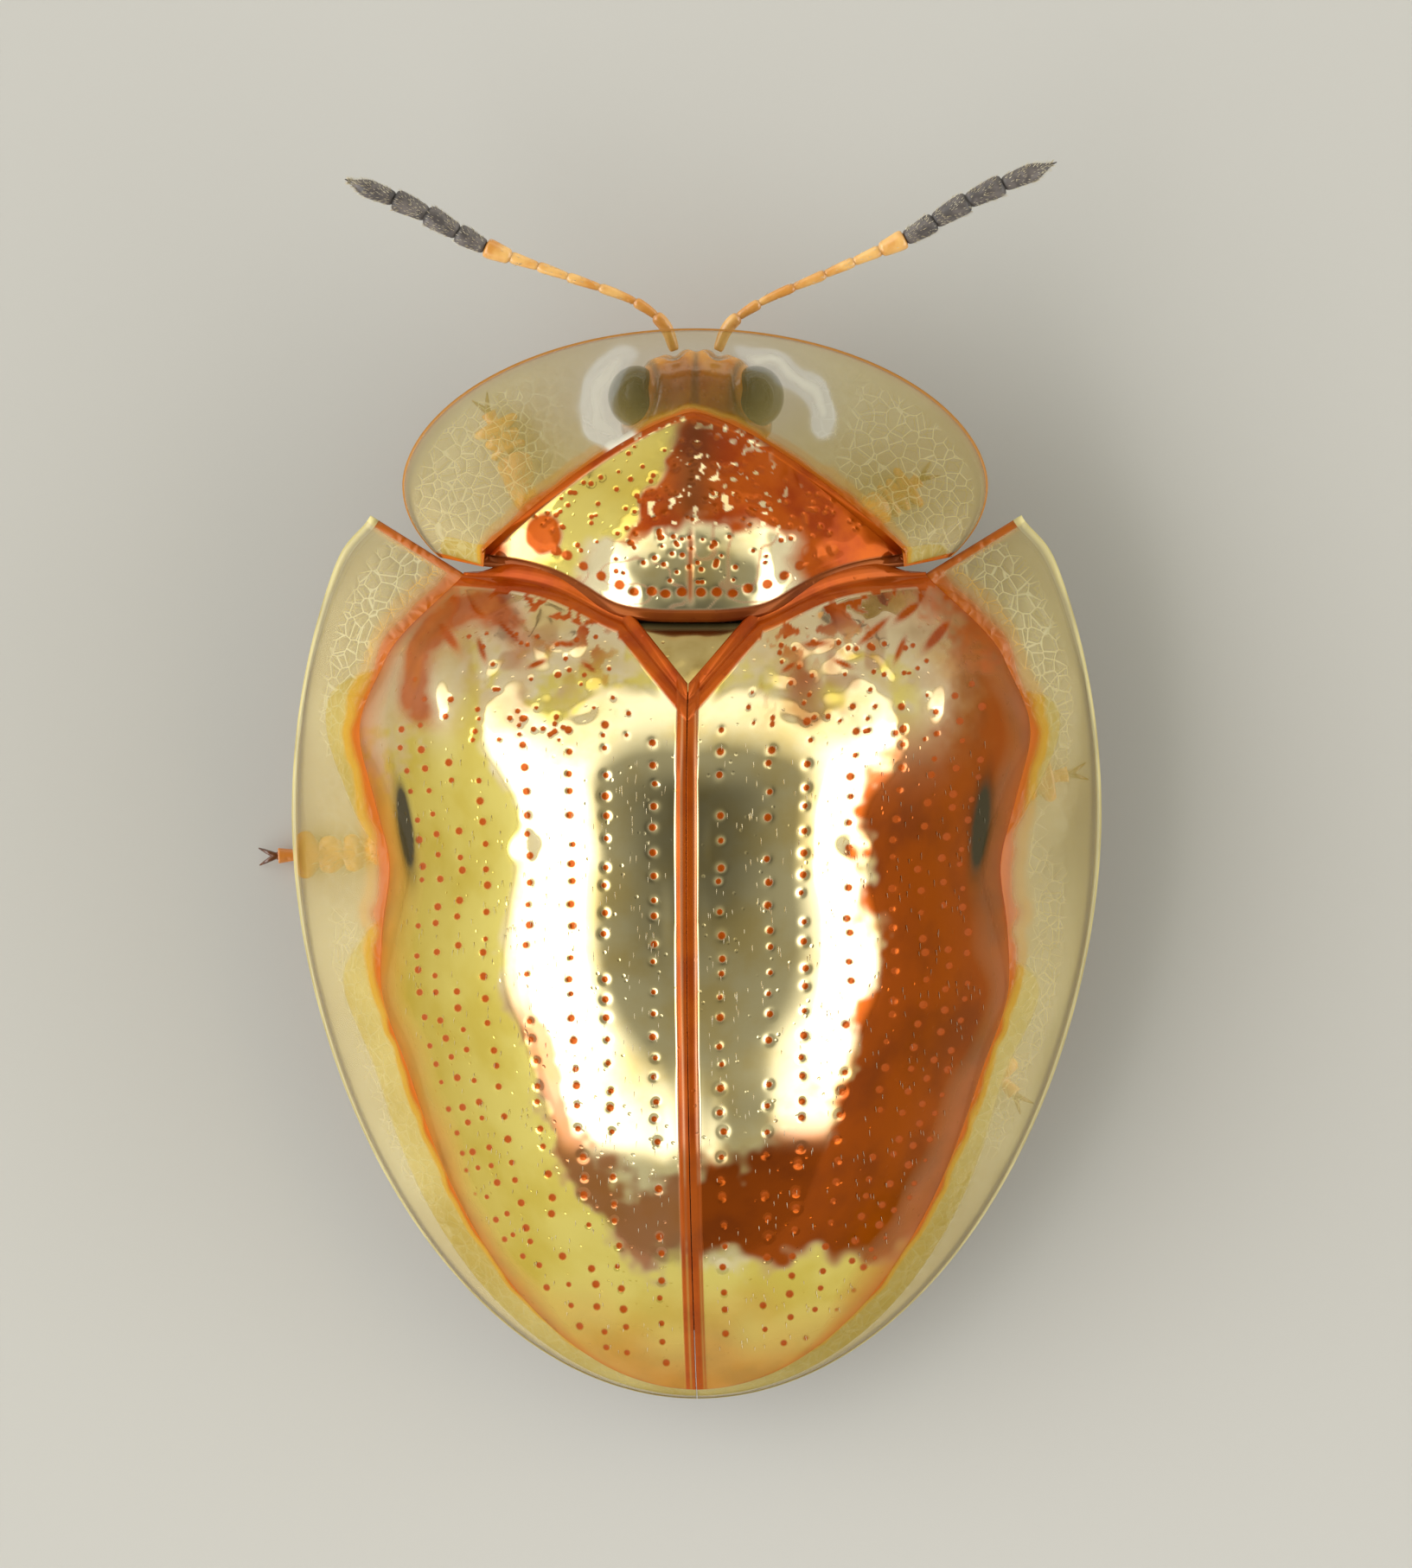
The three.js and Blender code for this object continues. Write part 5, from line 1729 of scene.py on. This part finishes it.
@dataclass
class Trunk:
    """One skin over prothorax, thorax and abdomen, with belly plates and leg hollows."""

    neck_at: float = 0.74
    chest_at: float = 1.545
    waist_at: float = 3.315
    tail_at: float = 6.08
    neck_half: float = 0.42
    prothorax_half: float = 0.98
    chest_half: float = 1.1
    thorax_half: float = 1.9
    belly_share: float = 0.93
    tail_taper: float = 0.6
    belly: float = 0.55
    belly_side: float = 0.72
    chest_roof: float = 1.47
    shield_gap: float = 0.32
    leg_hollows: Rows = ((0.32, 1.27), (0.42, 2.6), (0.42, 3.08))
    plates: int = 5
    rows: int = 330
    columns: int = 110

    def half_width(self, y: Array) -> Array:
        """Half width along the body: neck, chest, then a share of the disc's width."""
        front = mix(self.neck_half, self.prothorax_half, smooth(y, self.neck_at - 0.1, 1.3))
        disc = self.belly_share * FORM.disc_half_width(y)
        widening = np.clip((y - self.chest_at) / 0.5, 0, 1)
        chest = np.minimum(disc, mix(self.chest_half, self.thorax_half, widening))
        back = np.clip((y - self.waist_at) / (self.tail_at - self.waist_at), 0, 1)
        tail = np.sqrt(1 - self.tail_taper * back**5)
        return mix(front, chest * tail, smooth(y, self.chest_at - 0.05, self.chest_at + 0.06))

    def skin(self) -> Patch:
        """Rings across the body: the roof follows the shells, and the belly curves up to the sides."""
        y = np.linspace(self.neck_at, self.tail_at, self.rows)[:, None]
        half = self.half_width(y)
        s = np.sin(np.linspace(-math.pi / 2, math.pi / 2, self.columns))[None, :]
        x = s * half
        yy = y * np.ones_like(s)
        under_shield = FORM.shield_height(x, np.minimum(yy, FORM.hind_margin(x) - 0.02))
        under_shield = under_shield - self.shield_gap
        under_dome = FORM.dome_height(x, yy) - FORM.under_gap
        under_cases = np.minimum(under_dome, self.chest_roof + 3 * np.maximum(0, yy - 2.4))
        roof = mix(under_shield, under_cases, smooth(yy, 1.5, 1.6))
        side = np.minimum(self.belly_side, roof[:, :1] - 0.08)
        floor = mix(self.belly, side, np.abs(s) ** 2.2)
        pitch = (self.tail_at - self.waist_at) / self.plates
        place = (y - self.waist_at) / pitch
        furrow = bell(place - np.round(place), 0, 0.06) * smooth(y, self.waist_at - 0.2, self.waist_at)
        bulge = 0.018 * np.sin(place % 1 * math.pi) * (y > self.waist_at)
        cross = bell(yy, self.chest_at, 0.03) + bell(yy, 2.38, 0.025) * smooth(np.abs(s), 0.9, 0.75)
        hollows = sum(bell(np.abs(x), hx, 0.2) * bell(yy, hy, 0.16) for hx, hy in self.leg_hollows)
        keel = bell(x, 0, 0.05) * smooth(yy, 1.5, 1.7) * smooth(yy, 3.3, 3.2)
        floor = floor + 0.022 * furrow + 0.02 * cross + 0.05 * hollows + 0.012 * keel - bulge
        floor = floor + 0.003 * waver(x, yy, 0.06, 99)
        floor = np.minimum(floor, roof - 0.03)
        pale_rim = smooth(np.abs(s), 0.8, 0.97) * smooth(y, 3.2, 3.6)
        pale = np.clip(pale_rim + 0.25 * furrow, 0, 1)
        return plate(xyz(x, yy, roof), xyz(x, yy, floor), {"dark": pale})

    def make(self, finishes: Finishes) -> None:
        """Builds and dresses the skin."""
        piece = self.skin().to_object("trunk_skin", finishes.shells["belly"], "belly_cuticle")
        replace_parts(piece, "prothorax", "thorax", "abdomen")


@dataclass
class Leg:
    """One leg: hip, thigh, shin, padded foot, claws and bristles.

    Attributes:
        name: which leg, as the nodes name it.
        side: which side it stands on.
        plan: hip, thigh root, knee, ankle and toe, as x outwards and y backwards.
    """

    name: str
    side: Side
    plan: Rows
    heights: tuple[float, ...] = (0.44, 0.38, 0.4, 0.09, 0.065)
    hip_half: float = 0.165
    thigh_half: float = 0.105
    shin_half: float = 0.07
    neck_depth: float = 0.38
    claw_spread: float = 0.45
    pad_end: float = 0.78
    sides: int = 32
    rows: int = 300
    bristle_count: int = 420
    pad_count: int = 320

    def __post_init__(self) -> None:
        """Lays the line through the plan."""
        knots = [(self.side.value * x, y, z) for (x, y), z in zip(self.plan, self.heights)]
        self.path = Path(knots)
        _, self.thigh, self.knee, self.ankle, _ = (float(k) for k in self.path.knots)

    def profile(self, shares: Array) -> Triple:
        """Half width, half height and darkness along the leg.

        Each stretch has its own swelling, and a neck stands at each joint.

        Args:
            shares: (n,) places along the leg.

        Returns:
            Half widths, half heights and shares of the joints' dark colour.
        """
        hip_v = shares / self.thigh
        thigh_v = np.clip((shares - self.thigh) / (self.knee - self.thigh), 0, 1)
        shin_v = np.clip((shares - self.knee) / (self.ankle - self.knee), 0, 1)
        foot_v = np.clip((shares - self.ankle) / (1 - self.ankle), 0, 1)
        swell = self.thigh_half + 0.07 * np.sin(math.pi * thigh_v**0.85)
        shin = self.shin_half + 0.045 * shin_v**1.3
        pad = np.minimum(foot_v / self.pad_end, 0.999) * 3
        bump = np.sin((pad % 1) * math.pi * 0.8)
        third = 1 + 0.25 * smooth(pad, 2, 2.4)
        past_pads = foot_v > self.pad_end
        foot = np.where(past_pads, 0.036 + 0.012 * smooth(foot_v, 0.8, 1), (0.066 + 0.05 * bump) * third)
        hip = mix(self.hip_half, 0.12, np.clip(hip_v, 0, 1))
        stretches = [shares < self.thigh, shares < self.knee, shares < self.ankle]
        wide = np.select(stretches, [hip, swell, shin], foot)
        foot_high = np.where(past_pads, 0.034, 0.078 - 0.018 * foot_v)
        high = np.select([shares < self.ankle], [wide * 0.95], foot_high)
        joints = ((self.thigh, 0.018), (self.knee, 0.016), (self.ankle, 0.016))
        neck = np.maximum.reduce([bell(shares, joint, reach) for joint, reach in joints])
        step = np.where(foot_v > 0, bell(pad % 1, 0, 0.12) + bell(pad % 1, 1, 0.12), 0)
        slim = 1 - self.neck_depth * neck
        return wide * slim, high * slim, np.clip(0.9 * neck + 0.4 * step * (foot_v < 0.8), 0, 1)

    def limb(self) -> Patch:
        """The leg's skin from hip to claw joint."""
        shares = np.linspace(0.0, 0.995, self.rows)
        wide, high, dark = self.profile(shares)
        ribs = 1 + 0.02 * waver(circle(self.sides)[None, :] * 1.2, shares[:, None] * 9, 0.3, 120)
        return self.path.limb(shares, wide[:, None] * ribs, high[:, None] * ribs, self.sides, dark)

    def claws(self) -> Patch:
        """Two hooked claws that spread from the last joint."""
        (tip,), (along,) = self.path.at(np.array([1.0]))
        parts = []
        for spread in (self.claw_spread, -self.claw_spread):
            cos, sin = math.cos(spread), math.sin(spread)
            aim = np.array((along[0] * cos - along[1] * sin, along[0] * sin + along[1] * cos, 0))
            bend = tip + aim * 0.06
            end = tip + aim * 0.12
            path = Path([tuple(tip - aim * 0.03), (bend[0], bend[1], 0.075), (end[0], end[1], 0.022)])
            t = np.linspace(0, 1, 26)
            radius = mix(0.021, 0.004, t**1.3)
            parts.append(path.limb(t, radius, radius, 12))
        return joined(parts)

    def bristles(self) -> Patch:
        """Fine hairs over shin and foot, and close golden pads under the foot."""
        rng = np.random.default_rng(SEED + 200 + sum(map(ord, self.name)))
        single = rng.uniform(self.knee + 0.02, 0.9, self.bristle_count)
        pads = rng.uniform(self.ankle + 0.02, mix(self.ankle, 1, 0.7), self.pad_count)
        shares = np.concatenate([single, pads])
        count = len(shares)
        low = np.arange(count) >= self.bristle_count
        turn = np.where(low, rng.uniform(-2.7, -0.44, count), rng.uniform(0, 2 * math.pi, count))
        wide, high, _ = self.profile(shares)
        roots, out, along = self.path.around(shares, turn, wide * 0.95, high * 0.95)
        roots[:, 2] = np.maximum(roots[:, 2], 0.006)
        aims = unit(along * 0.9 + out * rng.uniform(0.35, 0.8, count)[:, None])
        lengths = np.where(low, 0.035, rng.uniform(0.035, 0.075, count))
        drop = np.minimum(0, roots[:, 2] + aims[:, 2] * lengths - HAIR_FLOOR)
        aims[:, 2] -= drop / lengths
        about = (turn % (2 * math.pi)) / (2 * math.pi)
        spots = np.stack([0.05 + 0.9 * shares, 0.05 + 0.85 * about], axis=-1)
        return hairs(roots, aims, lengths, 0.0026, spots)

    def make(self, finishes: Finishes) -> None:
        """Builds and dresses the limb, claws and bristles."""
        limb = self.limb().to_object(f"leg_{self.name}", finishes.shells["leg"], "leg_cuticle")
        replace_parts(limb, *(f"{part}_{self.name}" for part in ("coxa", "femur", "tibia", "tarsus")))
        self.claws().to_object(f"claws_{self.name}", finishes.shells["claw"], "leg_cuticle")
        self.bristles().to_object(f"bristles_{self.name}", finishes.down, "leg_cuticle")


FEELER_ROOT = (0.13, 0.13)
FEELER_PLANS = {
    Side.LEFT: ((0.19, -0.02), (0.35, -0.155), (0.81, -0.33), (1.28, -0.5), (1.7, -0.73), (2.13, -0.91)),
    Side.RIGHT: ((0.2, -0.02), (0.39, -0.16), (0.8, -0.34), (1.27, -0.55), (1.7, -0.8), (2.19, -1.01)),
}

LEG_PLANS = (
    ("left_front", Side.LEFT, ((0.3, 1.25), (0.55, 1.24), (1.0, 1.08), (1.14, 0.77), (1.29, 0.49))),
    ("right_front", Side.RIGHT, ((0.3, 1.25), (0.55, 1.24), (0.88, 1.19), (1.12, 1.06), (1.35, 0.9))),
    ("left_middle", Side.LEFT, ((0.36, 2.55), (0.66, 2.62), (1.42, 2.98), (2.02, 3.17), (2.58, 3.2))),
    ("right_middle", Side.RIGHT, ((0.36, 2.55), (0.66, 2.58), (1.36, 2.72), (1.82, 2.77), (2.26, 2.7))),
    ("left_hind", Side.LEFT, ((0.34, 3.02), (0.6, 3.16), (1.24, 3.78), (1.54, 4.24), (1.8, 4.7))),
    ("right_hind", Side.RIGHT, ((0.34, 3.02), (0.6, 3.16), (1.28, 3.7), (1.6, 4.26), (1.93, 4.66))),
)


@dataclass(frozen=True)
class Softbox:
    """A rectangular light that faces the beetle.

    Attributes:
        name: its name.
        bearing: direction in plan, in degrees from +X towards +Y.
        zenith: angle from the vertical, in degrees.
        distance: metres from the beetle.
        wide: level size in metres.
        high: upright size in metres.
        glow: brightness of its face.
        colour: its tint.
    """

    name: str
    bearing: float
    zenith: float
    distance: float
    wide: float
    high: float
    glow: float
    colour: Colour = (1.0, 1.0, 1.0)

    def make(self) -> None:
        """Places the light; its power is glow * pi * area."""
        light = bpy.data.lights.new(self.name, "AREA")
        light.shape = "RECTANGLE"
        light.size = self.wide
        light.size_y = self.high
        light.energy = self.glow * math.pi * self.wide * self.high
        light.color = self.colour
        lamp = placed(self.name, light)
        b, z = math.radians(self.bearing), math.radians(self.zenith)
        aim = Vector((math.cos(b) * math.sin(z), math.sin(b) * math.sin(z), math.cos(z)))
        lamp.location = aim * self.distance
        lamp.rotation_euler = aim.to_track_quat("Z", "Y").to_euler()


@dataclass
class Studio:
    """Floor, lights, dim surroundings and the camera above the beetle.

    Attributes:
        view_height: height of the picture at the beetle, in millimetres.
        view_centre: the point in the picture's middle, in the frame, in millimetres.
        lean: how far the camera leans to the beetle's right, in degrees.
        distance: from camera to beetle, in millimetres.
    """

    view_height: float = 9.52
    view_centre: Place = (-0.0604, 0.0315, 0.7)
    lean: float = 1.6
    distance: float = 120.0
    sensor: float = 36.0
    ring_glow: float = 2.1
    ring_colour: Colour = (1.0, 0.985, 0.95)
    dim_colour: Colour = (1.0, 0.96, 0.72)
    backdrop: Colour = (0.55, 0.545, 0.53)
    boxes: tuple[Softbox, ...] = (
        Softbox("left softbox", 10, 62, 0.3, 0.4, 0.22, 1.2),
        Softbox("right softbox", 170, 70, 0.3, 0.4, 0.14, 1.2),
    )

    def floor(self, finishes: Finishes) -> None:
        """A wide level sheet at z = 0, thin below the ground."""
        half, depth = 0.6, 0.002
        square = ((-half, -half), (half, -half), (half, half), (-half, half))
        corners = [(x, y, z) for z in (-depth, 0) for x, y in square]
        faces = [(3, 2, 1, 0), (4, 5, 6, 7), (0, 1, 5, 4), (1, 2, 6, 5), (2, 3, 7, 6), (3, 0, 4, 7)]
        mesh = bpy.data.meshes.new("studio_floor")
        mesh.from_pydata(corners, [], faces)
        mesh.materials.append(finishes.floor)
        sheet = placed("studio_floor", mesh)

    def surroundings(self) -> None:
        """A soft ring of light above the horizon, which the gold mirrors; the camera sees plain grey.

        In the direction (x, y, z) the ring glows where sqrt((x / a)^2 + (y / 0.92)^2) > 1 and z is
        above its lower edge, which rises behind the beetle. It has a gap behind on the right.
        """
        world = bpy.data.worlds.new("studio")
        world.use_nodes = True
        bpy.context.scene.world = world
        graph = Graph(world.node_tree)
        direction = graph.node("ShaderNodeTexCoord").outputs["Generated"]
        x, y, z = graph.node("ShaderNodeSeparateXYZ", {0: direction}).outputs
        half = graph.ramp(x, -0.12, 0.12, 0.84, 0.6)
        across = graph.math("POWER", graph.math("ABSOLUTE", graph.math("DIVIDE", x, half)), 2.0)
        along = graph.math("POWER", graph.math("ABSOLUTE", graph.math("DIVIDE", y, 0.92)), 2.0)
        out = graph.math("SQRT", graph.math("ADD", across, along))
        ring = graph.ramp(out, 0.8, 1.12)
        lower = graph.ramp(y, 0.7, 0.95, -0.01, 0.3)
        ring = graph.math("MULTIPLY", ring, graph.ramp(graph.math("SUBTRACT", z, lower), 0.0, 0.1))
        beside = graph.ramp(graph.math("ABSOLUTE", graph.math("ADD", x, 0.2)), 0.1, 0.26)
        behind = graph.math("MULTIPLY", graph.ramp(y, 0.6, 0.85), graph.math("SUBTRACT", 1.0, beside))
        ring = graph.math("MULTIPLY", ring, graph.math("SUBTRACT", 1.0, behind))
        ring = graph.math("MULTIPLY", ring, graph.ramp(y, -0.9, -0.35, 0.42, 1.0))
        dim = graph.math("ADD", graph.ramp(out, 0.0, 0.85, 0.1, 0.32), graph.ramp(out, 0.95, 1.1, 0.0, 0.2))
        glow = graph.math("ADD", dim, graph.math("MULTIPLY", ring, self.ring_glow))
        tint = graph.blend(ring, self.dim_colour, self.ring_colour)
        seen = graph.node("ShaderNodeLightPath").outputs["Is Camera Ray"]
        sky = world.node_tree.nodes["Background"]
        graph.feed(sky.inputs["Color"], graph.blend(seen, tint, self.backdrop))
        strength = graph.math("ADD", glow, graph.math("MULTIPLY", seen, graph.math("SUBTRACT", 1.0, glow)))
        graph.feed(sky.inputs["Strength"], strength)

    def camera(self) -> None:
        """A long lens above the beetle, the head towards the top of the picture."""
        data = bpy.data.cameras.new("camera")
        data.sensor_width = self.sensor
        data.lens = self.distance * self.sensor / self.view_height
        data.clip_start = 0.001
        data.clip_end = 5.0
        lean = math.radians(self.lean)
        back = Vector((-math.sin(lean), 0, math.cos(lean)))
        right = Vector((0, -1, 0)).cross(back).normalized()
        up = back.cross(right)
        camera = placed("camera", data)
        turn = Matrix((right, up, back)).transposed().to_4x4()
        place = (Vector(self.view_centre) + back * self.distance) * MM
        camera.matrix_world = Matrix.Translation(place) @ turn
        bpy.context.scene.camera = camera
        bpy.context.scene.view_settings.view_transform = "Standard"

    def make(self, finishes: Finishes) -> None:
        """Sets up the studio."""
        self.floor(finishes)
        self.surroundings()
        self.camera()
        for box in self.boxes:
            box.make()


def main() -> None:
    """Builds the studio, then each part of the beetle in order."""
    logging.basicConfig(level=logging.INFO, format="%(name)s: %(message)s")
    finishes = Finishes(Effects())
    Studio().make(finishes)
    Trunk().make(finishes)
    Head().make(finishes)
    for side, plan in FEELER_PLANS.items():
        Feeler(side, (FEELER_ROOT, *plan)).make(finishes)
    for name, side, plan in LEG_PLANS:
        Leg(name, side, plan).make(finishes)
    Shield().make(finishes)
    Scutellum().make(finishes)
    for side in Side:
        WingCase(side).make(finishes)


if __name__ == "__main__":
    main()
